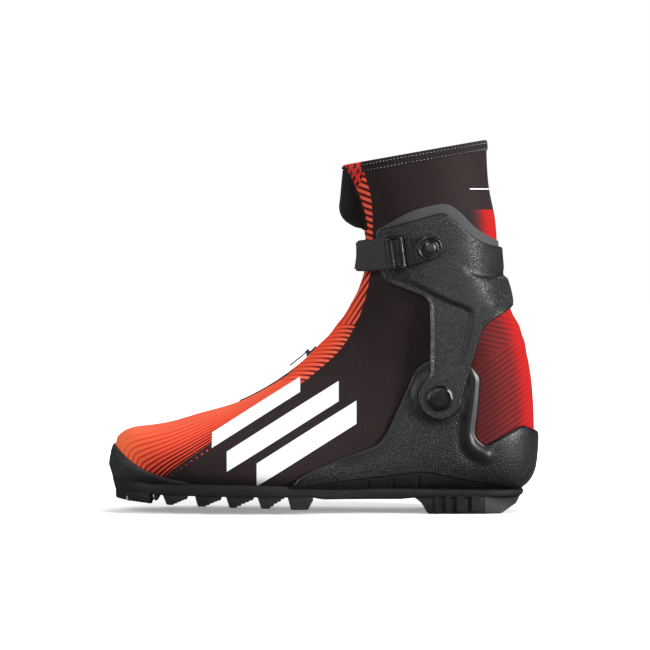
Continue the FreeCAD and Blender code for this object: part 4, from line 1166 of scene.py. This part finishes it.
def bump_at(x, z, at, size_x, size_z):
    """Soft round swelling of height 1 in the side view."""
    return np.exp(-(((x - at[0]) / size_x) ** 2) - ((z - at[1]) / size_z) ** 2)


def chassis():
    """Heel cup with wings: a ridge up each wing, a hollow behind, and a flat face round the pivot."""
    grid, _ = form_grid(np.linspace(-26.0, -72.0, 235), 336)
    field = side_field(grid, CHASSIS_OUTLINE)
    wing = spline([(4.5, 98.0), (4.3, 80.0), (1.2, 60.0), (2.5, 46.0), (12.0, 40.0)], 30)
    hollow = spline([(-4.5, 64.0), (-5.0, 54.0), (-3.6, 44.0), (3.0, 36.0)], 20)
    facet = spline([(-40.0, 96.0), (-52.0, 68.0), (-62.0, 50.0), (-80.0, 42.0)], 30)

    def outer(points, depth):
        n = on_form(points)
        x, z = points[:, 0], points[:, 2]
        side = np.sign(points[:, 1])
        h = edge_profile(depth, 1.0, 2.8, 1.6)
        body = smoothstep(depth, 0.5, 5.0)
        wing_d, _ = distance_to_line(x, z, wing)
        facet_d, _ = distance_to_line(x, z, facet)
        hollow_d, _ = distance_to_line(x, z, hollow)
        from_pivot = np.hypot(x - PIVOT[0], z - PIVOT[1])
        below = smoothstep(z, 82, 72)
        h = h + body * (
            1.5 * np.exp(-((wing_d / 3.6) ** 2)) + 0.9 * bump_at(x, z, (38.0, 52.0), 9, 12)
            - 0.9 * np.exp(-((hollow_d / 3.4) ** 2)) - 0.7 * np.exp(-((facet_d / 4.5) ** 2))
            - 1.1 * below * np.exp(-(((from_pivot - 17.2) / 1.4) ** 2))
        )
        h = h + 0.35 * smoothstep(depth, 3.0, 0.8) * smoothstep(z, 34, 26) * smoothstep(depth, 0.2, 0.8)
        moved = points + n * h[:, None]
        boss = smoothstep(from_pivot, 21.0, 14.5) * (np.abs(n[:, 1]) > 0.5)
        moved[:, 1] = moved[:, 1] * (1 - boss) + side * PAD_FACE * boss
        swept = (from_pivot < 52) & (z > 60) & (x < 2.0 + 0.3 * (z - 76.0))
        high = np.abs(moved[:, 1]) > PAD_FACE
        moved[swept & high, 1] = (side * PAD_FACE)[swept & high]
        return moved

    def looks(points, depth):
        x, z = points[:, 0], points[:, 2]
        wing_d, _ = distance_to_line(x, z, wing)
        facet_d, _ = distance_to_line(x, z, facet)
        smooth = np.maximum(smoothstep(wing_d, 8.5, 4.5), smoothstep(facet_d, 12.0, 6.0))
        return {"grain": 0.55 * smoothstep(depth, 0.6, 2.6) * (1 - 0.9 * smooth)}

    shell = trimmed_sheet("heel_chassis_shell", grid, field, outer, lifted(0.5), M_CHASSIS, looks)
    sharpen(shell, 50)
    attach(shell, "boot", "hard_plastic", "heel_chassis")


def cuff():
    """Hinged cuff: flat arms with a sunk panel, and a band with a moulded crease round the back."""
    grid, _ = form_grid(np.linspace(0.5, -43.0, 250), 336)
    field = side_field(grid, CUFF_OUTLINE)
    crease = [(-12.0, 170.5), (-2.0, 165.0), (9.0, 160.0), (20.0, 159.6), (34.0, 160.5), (50.0, 161.0)]
    crease = spline(crease, 40)
    below_crease = np.vstack([crease, [(50.0, 60.0), (-12.0, 60.0)]])

    def emboss(x, z, depth):
        """Height of the moulded relief, and how far a point lies in the valley along the crease."""
        inset = depth_in(x, z, ARM_PANEL)
        panel = smoothstep(inset, -1.6, 2.4) * smoothstep(z, 168, 150)
        ridge = np.exp(-(((inset + 3.4) / 1.9) ** 2)) * smoothstep(z, 160, 142)
        below = depth_in(x, z, below_crease)
        strength = smoothstep(x, -12.0, 16.0)
        step = smoothstep(below, -0.4, 2.6) * strength * smoothstep(z, 128, 146)
        valley = np.exp(-((np.abs(below + 1.2) / 3.4) ** 2)) * strength
        swell = bump_at(x, z, (10.0, 147.0), 22, 9) * 0.5
        height = -1.7 * panel + 0.4 * ridge + 1.3 * step - 1.2 * valley + swell
        return smoothstep(depth, 0.4, 4.0) * height, valley

    def outer(points, depth):
        n = on_form(points)
        x, z = points[:, 0], points[:, 2]
        side = np.sign(points[:, 1])
        relief, _ = emboss(x, z, depth)
        round_off = 2.6 - edge_profile(depth, 0.8, 2.6, 1.6)
        curved = points + n * (3.6 + relief - round_off)[:, None]
        plane = np.stack([x, side * (ARM_OUTER + relief - round_off), z], axis=-1)
        share = smoothstep(z, 152, 126)[:, None]
        return curved * (1 - share) + plane * share

    def inner(points, depth):
        n = on_form(points)
        x, z = points[:, 0], points[:, 2]
        side = np.sign(points[:, 1])
        curved = points + n * 1.3
        plane = np.stack([x, side * ARM_INNER, z], axis=-1)
        share = smoothstep(z, 148, 126)[:, None]
        return curved * (1 - share) + plane * share

    def looks(points, depth):
        x, z = points[:, 0], points[:, 2]
        _, valley = emboss(x, z, depth)
        slope = np.exp(-(((depth_in(x, z, ARM_PANEL) + 0.4) / 2.0) ** 2)) * smoothstep(z, 160, 144)
        return {"grain": smoothstep(depth, 0.7, 2.0) * (1 - 0.9 * np.maximum(slope, valley * 0.8))}

    shell = trimmed_sheet("cuff_shell_moulding", grid, field, outer, inner, M_CUFF, looks)
    sharpen(shell, 50)
    attach(shell, "cuff", "hard_plastic", "cuff_shell")


def cuff_pad():
    """Foam edge that shows above the cuff."""
    pad = moulding(
        "cuff_pad_foam", np.linspace(1.5, -20.0, 110), 300, PAD_OUTLINE,
        high=1.15, low=0.2, radius=0.8, material=M_PAD,
    )
    attach(pad, "cuff", "lining", "cuff_pad")


def toe_rand():
    """Ribbed rubber rand round the toe."""

    def ribs(points, depth):
        return 0.25 * smoothstep(depth, 0.5, 2.0) * (0.5 + 0.5 * np.cos(depth * 1.6))

    rand = moulding(
        "toe_rand_rubber", np.linspace(-84.0, -102.6, 110), 300, RAND_OUTLINE,
        high=2.0, low=0.3, radius=1.6, material=M_RAND, relief=ribs,
    )
    attach(rand, "boot", "rand", "toe_rand")


# ------------------------------------------------------------------ strap

STRAP_PIVOT = (-24.8, 179.4)
STRAP_FALL = math.radians(8.0)


def strap_frame(x, z):
    """Side-view place measured along the strap (towards the heel) and across it (upwards)."""
    dx, dz = x - STRAP_PIVOT[0], z - STRAP_PIVOT[1]
    along = dx * math.cos(STRAP_FALL) + dz * math.sin(STRAP_FALL)
    up = -dx * math.sin(STRAP_FALL) + dz * math.cos(STRAP_FALL)
    return along, up


def strap_layer(name, limit, half_width, high, low, body, node):
    """Layer of webbing round the front of the shaft; limit says how far inside its length a point is."""
    grid, _ = form_grid(np.linspace(-2.0, -26.0, 150), 420)
    along, up = strap_frame(grid[..., 0], grid[..., 2])
    field = np.minimum(half_width - np.abs(up), limit(grid, along))

    def height(points, depth):
        return edge_profile(depth, low + 0.45, high, 0.8)

    piece = trimmed_sheet(name, grid, field, lifted(height), lifted(low), M_WEB)
    store_rest(piece)
    attach(piece, body, "webbing", node)


def strap():
    """Webbing round the front, and its tail turned back over it on the outer side."""

    def band_limit(grid, along):
        return np.where(grid[..., 1] < 0, -23.2 - along, -19.3 - along)

    def tail_limit(grid, along):
        return np.minimum(-20.6 - along, 8.0 - grid[..., 1])

    strap_layer(
        "strap_webbing", band_limit, half_width=11.0, high=5.7, low=4.6, body="strap", node="strap_band",
    )
    strap_layer(
        "strap_tail_webbing", tail_limit, half_width=10.0, high=7.0, low=5.9,
        body="strap_tail", node="strap_tail",
    )


# Outlines of the strap's plate and ring, measured along the strap and across it.
PLATE_OUTLINE = rounded(
    [(-24.0, -9.0), (-24.0, 9.0), (-15.8, 10.6), (-8.0, 9.9), (1.0, 8.0), (1.0, -8.0), (-8.0, -9.9),
     (-15.8, -10.6)],
    1.4,
)
RING_OUTER = rounded([(-26.0, -11.2), (-26.0, 11.2), (-15.4, 11.2), (-15.4, -11.2)], 1.6)
RING_WINDOW = rounded([(-21.6, -9.2), (-21.6, 9.2), (-17.8, 9.2), (-17.8, -9.2)], 0.8)
BOSS_RADIUS = 8.2


def ring_shape(value, centre, width):
    """Soft ridge of height 1 where the value is near the centre."""
    return np.exp(-(((value - centre) / width) ** 2))


def strap_hardware():
    """Plate with a round boss about the rivet, and the ring in front of it, on the outer side."""
    grid, _ = form_grid(np.linspace(-5.0, -19.0, 170), 560)
    along, up = strap_frame(grid[..., 0], grid[..., 2])
    away = np.where(grid[..., 1] < 0, 1.0, -1.0)
    boss = BOSS_RADIUS - np.hypot(along, up)

    def plate_height(points, depth):
        a, u = strap_frame(points[:, 0], points[:, 2])
        r = np.hypot(a, u)
        h = edge_profile(depth, 4.9, 6.3, 0.9)
        grip = smoothstep(a, -8.0, -10.5) * np.cos(a * 2 * math.pi / 2.3) * smoothstep(depth, 0.8, 2.0)
        h = h + 0.32 * grip
        on_boss = smoothstep(r, 9.4, 8.4) * (a > -8.4)
        rings = 5.75 + 0.75 * ring_shape(r, 7.0, 0.9) + 0.55 * ring_shape(r, 4.9, 0.5)
        rings = rings - 0.35 * ring_shape(r, 5.9, 0.35)
        rounded_edge = edge_profile(np.maximum(depth, 0), 4.9, 6.5, 0.9)
        rings = np.where(r > 7.4, np.minimum(rings, rounded_edge), rings)
        return h * (1 - on_boss) + rings * on_boss

    def ring_height(points, depth):
        return edge_profile(depth, 6.4, 8.3, 1.5)

    plate_field = np.maximum(np.minimum(depth_in(along, up, PLATE_OUTLINE), 30.0), boss)
    ring_field = np.minimum(depth_in(along, up, RING_OUTER), -depth_in(along, up, RING_WINDOW))
    for name, node, field, height, low in (
        ("strap_plate_moulding", "strap_anchor_lateral", plate_field, plate_height, 4.6),
        ("strap_ring_moulding", "strap_ring", ring_field, ring_height, 5.9),
    ):
        field = np.minimum(field, away * 40.0)
        piece = trimmed_sheet(name, grid, field, lifted(height), lifted(low), M_SMOOTH)
        attach(piece, "strap", "hard_plastic", node)


ZIP_LINE_Y = 5.0
ZIP_TOP = (-104.6, 107.0)
ZIP_END_Z = 74.0
TEETH_PITCH = 1.3


def zip_teeth():
    """Coil of the zip, lying in a narrow bed over the instep below the slider."""
    grid, _ = form_grid(np.linspace(-46.0, -71.5, 300), 620)
    across = np.abs(grid[..., 1] - ZIP_LINE_Y)
    below_slider = (ZIP_TOP[0] - grid[..., 0]) + (ZIP_TOP[1] - grid[..., 2])
    field = np.minimum(np.minimum(2.5 - across, below_slider), grid[..., 2] - ZIP_END_Z)
    field = np.where(grid[..., 0] < -60.0, field, -20.0)

    def height(points, depth):
        side = points[:, 1] - ZIP_LINE_Y
        arc = ZIP_RADIUS * np.arctan2(ZIP_CENTRE[1] - points[:, 2], points[:, 0] - ZIP_CENTRE[0])
        teeth = 0.5 + 0.5 * np.cos(arc * 2 * math.pi / TEETH_PITCH + np.sign(side) * 0.9)
        return 0.3 + (0.28 + 0.3 * teeth) * np.sqrt(np.clip(1 - (side / 1.5) ** 2, 0, 1))

    coil = trimmed_sheet("zipper_coil_teeth", grid, field, lifted(height), lifted(-0.3), M_SMOOTH)
    attach(coil, "boot", "zip", "zipper_coil")


# ------------------------------------------------------------------ sole

# Place along the boot, half width, sideways shift.
SOLE_PLAN = [
    (-239.0, 6.0, 4.5), (-234.0, 17.0, 4.2), (-222.0, 27.0, 3.5), (-205.0, 35.0, 2.5),
    (-180.0, 41.0, 1.0), (-155.0, 43.5, 0.0), (-130.0, 42.0, -1.0), (-105.0, 38.0, -0.8),
    (-80.0, 34.0, -0.4), (-50.0, 32.5, 0.0), (-20.0, 33.5, 0.0), (5.0, 33.5, 0.0), (25.0, 28.0, 0.0),
    (36.0, 18.0, 0.0),
]
# Heights along the boot of the sole's underside and of the top edge of its band.
UNDERSIDE = np.array([
    (-243.0, 14.6), (-236.0, 14.2), (-226.0, 13.4), (-200.0, 12.6), (-160.0, 12.0), (-104.0, 11.4),
    (-96.0, 10.0), (-44.0, 10.0), (-34.0, 11.0), (41.0, 11.6), (45.0, 13.0),
])
BAND_TOP = np.array([
    (-243.0, 30.0), (-238.0, 28.6), (-226.0, 23.4), (-212.0, 20.4), (-190.0, 21.0), (-150.0, 20.4),
    (-119.0, 19.2), (-60.0, 17.4), (10.0, 16.0), (45.0, 15.6),
])


def plan_curve():
    """Closed outline of the sole seen from below, evenly spaced, with outward normals."""
    lateral = [(x, shift - half) for x, half, shift in SOLE_PLAN]
    medial = [(x, shift + half) for x, half, shift in reversed(SOLE_PLAN)]
    loop = lateral + [(39.5, 0.0)] + medial + [(-241.0, TOE_Y)]
    extra = 4
    curve = spline(loop[-extra:] + loop + loop[:extra], 4000)
    first = int(np.argmin(np.linalg.norm(curve - np.array(loop[0]), axis=1)))
    curve = curve[first:]
    far = np.linalg.norm(curve - curve[0], axis=1)
    far[:200] = 1e9
    curve = curve[: int(np.argmin(far))]
    length = np.r_[0, np.cumsum(np.linalg.norm(np.diff(curve, axis=0), axis=1))]
    even = np.linspace(0, length[-1], 300, endpoint=False)
    points = np.stack([np.interp(even, length, curve[:, c]) for c in (0, 1)], axis=-1)
    tangent = np.roll(points, -1, 0) - np.roll(points, 1, 0)
    normal = np.stack([-tangent[:, 1], tangent[:, 0]], axis=-1)
    normal /= np.linalg.norm(normal, axis=1, keepdims=True)
    if (normal * (points - points.mean(0))).sum() < 0:
        normal = -normal
    return points, normal


PLAN, PLAN_NORMAL = plan_curve()


def plan_side(x, inset, medial):
    """Y of the sole's edge at x, on the chosen side."""
    half = PLAN[:, 1] > TOE_Y if medial else PLAN[:, 1] < TOE_Y
    edge = (PLAN - PLAN_NORMAL * inset)[half]
    order = np.argsort(edge[:, 0])
    return np.interp(x, edge[order, 0], edge[order, 1])


def toe_lean(x):
    """How far the lower edge of the toe bumper lies behind its upper edge."""
    return 2.8 * smoothstep(x, -212.0, -238.0)


def capped_rows(rows):
    """Rows of points joined into a closed body."""
    n = len(rows[0])
    vertices = [v for row in rows for v in row]
    faces = grid_faces(len(rows), n, True)
    faces.append(tuple(range(n)))
    faces.append(tuple(reversed([(len(rows) - 1) * n + k for k in range(n)])))
    return vertices, faces


def finish_rubber(name, parts, material, node):
    """Joins the parts into one crisp rubber piece of the sole."""
    piece = make_mesh(name, *joined(parts), material)
    bm = bmesh.new()
    bm.from_mesh(piece.data)
    bmesh.ops.triangulate(bm, faces=[f for f in bm.faces if len(f.verts) > 4])
    bmesh.ops.recalc_face_normals(bm, faces=bm.faces)
    bm.to_mesh(piece.data)
    bm.free()
    sharpen(piece, 38)
    attach(piece, "boot", "sole_rubber", node)


# Rows of the band from its underside over the side to its top: inset, share of the height, lift,
# share of the lean at the toe.
BAND_ROWS = (
    (4.0, 0.0, 0.2, 1.0), (1.2, 0.0, 0.0, 1.0), (0.45, 0.0, 0.35, 0.97), (0.1, 0.0, 1.2, 0.9),
    (-0.15, 0.4, 0.0, 0.55), (-0.2, 0.75, 0.0, 0.2), (0.0, 1.0, -1.0, 0.05), (0.45, 1.0, -0.25, 0.0),
    (1.3, 1.0, 0.0, 0.0), (5.0, 1.0, 0.3, 0.0),
)


def sole_band():
    """Rubber band round the foot, rising into the bumper at the toe."""
    low = np.interp(PLAN[:, 0], UNDERSIDE[:, 0], UNDERSIDE[:, 1])
    high = np.interp(PLAN[:, 0], BAND_TOP[:, 0], BAND_TOP[:, 1])
    lean = toe_lean(PLAN[:, 0])
    rows = []
    for inset, share, lift, lean_share in BAND_ROWS:
        place = PLAN - PLAN_NORMAL * (inset + lean * lean_share)[:, None]
        rows.append(np.c_[place, low + share * (high - low) + lift])
    finish_rubber("sole_band_rubber", [capped_rows(rows)], M_SOLE, "outsole")


def sole_wrap():
    """Part of the sole that climbs the sides between the ground and the chassis."""
    outline = rounded([(-120.0, 19.6), (-28.2, 29.4), (41.5, 16.8), (41.5, 8.0), (-120.0, 8.0)], 2.0)

    def slots(points, depth):
        x = points[:, 0]
        rows = np.maximum(ring_shape(np.mod(x + 92.0, 17.0), 8.5, 0.8), ring_shape(points[:, 2], 17.0, 0.5))
        zone = smoothstep(x, -96.0, -90.0) * smoothstep(x, -26.0, -32.0) * smoothstep(depth, 1.0, 2.4)
        return -0.7 * rows * zone

    wrap = moulding(
        "sole_wrap_rubber", np.linspace(-30.0, -76.0, 240), 300, outline,
        high=2.3, low=0.4, radius=1.0, material=M_SOLE, relief=slots,
    )
    attach(wrap, "boot", "sole_rubber")


LUG_TOP = 15.0
# Front top, front bottom, rear bottom, rear top, height of the ground face, height of the rear top.
LUG_SHAPES = [
    (-205.6, -202.0, -197.0, -187.6, 6.2, 10.6), (-183.4, -180.7, -175.2, -164.8, 5.4, 10.2),
    (-162.6, -159.4, -154.4, -143.0, 4.8, 10.4), (-141.6, -138.0, -132.0, -122.0, 4.2, 11.2),
    (-121.2, -118.0, -106.4, -103.2, 3.2, 9.0),
]
GROOVE_MIDDLE, GROOVE_HALF, GROOVE_DEPTH = 13.0, 3.0, 6.0


def lug_profile(front_top, front_low, rear_low, rear_top, ground, rear_high):
    """Side outline of a lug: steep front, flat bottom, stepped slope behind."""
    line = [(front_top, LUG_TOP), (front_low - 0.25, ground + 1.0), (front_low + 0.1, ground + 0.3)]
    line += [(front_low + 0.9, ground), (rear_low - 0.4, ground)]
    steps = 4
    for k in range(steps):
        x0 = rear_low + (rear_top - rear_low) * k / steps
        x1 = rear_low + (rear_top - rear_low) * (k + 1) / steps
        z1 = ground + (rear_high - ground) * (k + 1) / steps
        line += [(x0 + 0.15, z1 - 0.55), (x0 + 0.6, z1 - 0.1), (x1 - 0.4, z1)]
    return line + [(rear_top, rear_high + 0.8), (rear_top + 0.3, LUG_TOP)]


def blocks(profile, inset, floor_height, split=True):
    """The profile as a bar across the sole, divided by the two guide grooves; its ends are eased."""
    x, z = np.array(profile).T
    left, right = plan_side(x, inset, False), plan_side(x, inset, True)
    inner, outer = GROOVE_MIDDLE - GROOVE_HALF, GROOVE_MIDDLE + GROOVE_HALF
    spans = [(left, -outer), (-inner, inner), (outer, right)] if split else [(left, right)]
    eased_x = x - np.clip(x - x.mean(), -1, 1) * 0.5
    eased_z = z - np.clip(z - z.mean(), -1, 1) * 0.5
    sections = ((0.0, eased_x, eased_z), (0.02, x, z), (0.98, x, z), (1.0, eased_x, eased_z))
    out = []
    for y0, y1 in spans:
        rows = []
        for share, row_x, row_z in sections:
            rows.append(np.c_[row_x, np.broadcast_to(y0 + (y1 - y0) * share, x.shape), row_z])
        out.append(capped_rows(rows))
    if split:
        roof = [(px, max(pz, floor_height)) for px, pz in profile]
        out += blocks(roof, inset + 0.6, floor_height, False)
    return out


def lugs():
    """Forefoot tread: a block that carries on the toe bumper, and five stepped bars."""
    keep = PLAN[:, 0] < -212.0
    order = np.argsort(np.where(PLAN[:, 1] < TOE_Y, -1, 1) * (PLAN[:, 0] + 260.0))
    toe = [k for k in order if keep[k]]
    edge, normal = PLAN[toe], PLAN_NORMAL[toe]
    lean = toe_lean(edge[:, 0])
    rows = []
    for inset, z in ((3.0, 0.1), (1.5, 0.0), (0.8, 0.35), (0.45, 1.2), (0.25, 5.0), (0.25, 8.5)):
        place = edge - normal * (inset + lean)[:, None]
        bottom = np.interp(place[:, 0], (-236.0, -211.0), (8.6, 6.6))
        place[:, 0] = np.minimum(place[:, 0], -211.6 + 0.25 * z)
        rows.append(np.c_[place, bottom + z])
    parts = [capped_rows(rows)]
    ridge = [(-211.0, 15.0), (-210.6, 9.6), (-209.4, 8.6), (-207.8, 9.4), (-207.0, 15.0)]
    parts += blocks(ridge, 2.2, 12.0)
    for shape in LUG_SHAPES:
        parts += blocks(lug_profile(*shape), 0.9, shape[4] + GROOVE_DEPTH)
    finish_rubber("forefoot_lug_rubber", parts, M_TREAD, "forefoot_tread")


def heel_block():
    """Heel tread: hollowed front, sloping rear face, ribs along the side."""
    front = [
        (-36.0, 14.0), (-35.4, 11.4), (-33.2, 10.0), (-30.2, 7.4), (-28.2, 4.2), (-26.6, 1.2),
        (-25.4, 0.25),
    ]
    rear = [(22.6, 0.0), (24.6, 0.5), (34.2, 6.6), (37.4, 12.0), (37.8, 14.0)]
    parts = blocks(front + [(-24.0, 0.0), (12.0, 0.0), (12.0, 14.0)], 0.9, GROOVE_DEPTH)
    parts += blocks([(11.9, 14.0), (11.9, 0.0)] + rear, 0.9, 0.0, False)
    for x0, x1 in ((-21.0, -18.4), (-14.0, -11.4), (-6.4, -1.2), (3.6, 8.8)):
        rib = [(x0, 2.0), (x1, 2.0), (x1, 12.5), (x0, 12.5)]
        corners = np.array([x0, x1, x1, x0])
        left, right = plan_side(corners, 0.3, False), plan_side(corners, 0.3, True)
        for y0, y1 in ((left, left + 1.5), (right - 1.5, right)):
            rows = [np.array([(vx, y, vz) for (vx, vz), y in zip(rib, side)]) for side in (y0, y1)]
            parts.append(capped_rows(rows))
    finish_rubber("heel_block_rubber", parts, M_TREAD, "heel_tread")


# ------------------------------------------------------------------ carried CAD parts


# CAD nodes that are shown as they are, by material.
DRESS = (
    (M_STEEL, ("toe_bar", "shank_plate", "pivot_rivet_lateral", "pivot_rivet_medial")),
    (M_DARK_STEEL, ("strap_rivet_lateral", "strap_rivet_medial", "zipper_slider", "zipper_pull")),
    (M_CAP, ("pivot_cap_lateral", "pivot_cap_medial")),
    (M_SMOOTH, ("strap_anchor_medial", "toe_puff", "heel_counter")),
    (M_SMOOTH, ("pivot_bush_lateral", "pivot_bush_medial")),
    (M_BOARD, ("lasting_board",)),
    (M_LINING, ("footbed",)),
    (M_LACE, ("lace", "lace_loops")),
)


def carried_parts():
    """Gives the CAD nodes that stay in view, or inside, their materials."""
    for material, names in DRESS:
        for name in names:
            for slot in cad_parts[name].material_slots:
                slot.material = material


# ------------------------------------------------------------------ studio

MIDDLE = (-0.095, 0.0, 0.12)
# Area lights aimed at the middle of the boot: name, place, width, power, height where it differs.
LIGHTS = (
    ("key", (-0.8, -1.5, 1.3), 0.6, 9.5, None), ("fill", (-0.2, -1.9, 0.5), 0.8, 4.5, None),
    ("back", (0.2, 1.4, 1.2), 0.8, 8, None), ("top", (-0.1, 0.1, 1.7), 0.6, 9, None),
    ("right_strip", (1.15, -0.7, 0.5), 0.2, 36, 1.1), ("left_strip", (-1.35, -0.45, 0.4), 0.3, 8, 1.0),
)
FLOOR_REACH = 6.0


def link(name, data):
    """New object of the scene."""
    obj = bpy.data.objects.new(name, data)
    bpy.context.scene.collection.objects.link(obj)
    return obj


def aim(obj, place, target):
    """Puts a light or camera at a place, looking at the target."""
    obj.location = place
    obj.rotation_euler = (Vector(target) - Vector(place)).to_track_quat("-Z", "Y").to_euler()


def floor_material():
    """White floor that glows away from the boot for the camera and is grey for the light it reflects."""
    p = Paint("floor_white", linear(252, 252, 252), 0.6, specular=0.1)
    place = p.object_place()
    soft = p.noise(place, 3.0, 2.0)
    seen = p.node("LightPath", output="Is Camera Ray")
    white = p.mix(soft, linear(250, 250, 250), linear(255, 255, 255))
    p.set("Base Color", p.mix(seen, linear(120, 120, 122), white))
    p.set("Emission Color", linear(255, 255, 255))
    x, y, _ = p.split(place)
    away = p.math("SQRT", (x + 0.095) ** 2.0 + y**2.0)
    p.set("Emission Strength", p.between(away, 0.12, 0.75, 0.3, 1.3) * seen)
    return p.material


def studio():
    """White floor, plain white background that lights the boot only faintly, and area lights."""
    r = FLOOR_REACH
    mesh = bpy.data.meshes.new("floor")
    mesh.from_pydata([(-r, -r, 0), (r, -r, 0), (r, r, 0), (-r, r, 0)], [], [(0, 1, 2, 3)])
    floor = link("floor", mesh)
    floor.data.materials.append(floor_material())

    world = bpy.data.worlds.new("studio")
    world.use_nodes = True
    tree = world.node_tree
    seen = tree.nodes.new("ShaderNodeLightPath").outputs["Is Camera Ray"]
    strength = tree.nodes.new("ShaderNodeMapRange")
    strength.inputs["To Min"].default_value = 0.05
    strength.inputs["To Max"].default_value = 1.0
    background = tree.nodes["Background"]
    background.inputs["Color"].default_value = (1, 1, 1, 1)
    tree.links.new(seen, strength.inputs["Value"])
    tree.links.new(strength.outputs["Result"], background.inputs["Strength"])
    bpy.context.scene.world = world
    bpy.context.scene.view_settings.view_transform = "Standard"

    for name, place, width, power, height in LIGHTS:
        data = bpy.data.lights.new(name, "AREA")
        data.energy = power
        data.shape = "RECTANGLE" if height else "SQUARE"
        data.size = width
        if height:
            data.size_y = height
        aim(link(name, data), place, MIDDLE)


def camera():
    """Long lens from the outer side, a little above the ground."""
    data = bpy.data.cameras.new("camera")
    data.lens = 240
    data.sensor_width = 36
    target = Vector((-0.0952, 0.0, 0.1265))
    distance, elevation = 2.948, math.radians(1.6)
    obj = link("camera", data)
    aim(obj, target + distance * Vector((0.0, -math.cos(elevation), math.sin(elevation))), target)
    bpy.context.scene.camera = obj


upper_fabric()
collar_hem()
hem_stitches()
lining()
front_flap()
chassis()
cuff()
cuff_pad()
toe_rand()
strap()
strap_hardware()
zip_teeth()
sole_band()
sole_wrap()
lugs()
heel_block()
carried_parts()
studio()
camera()
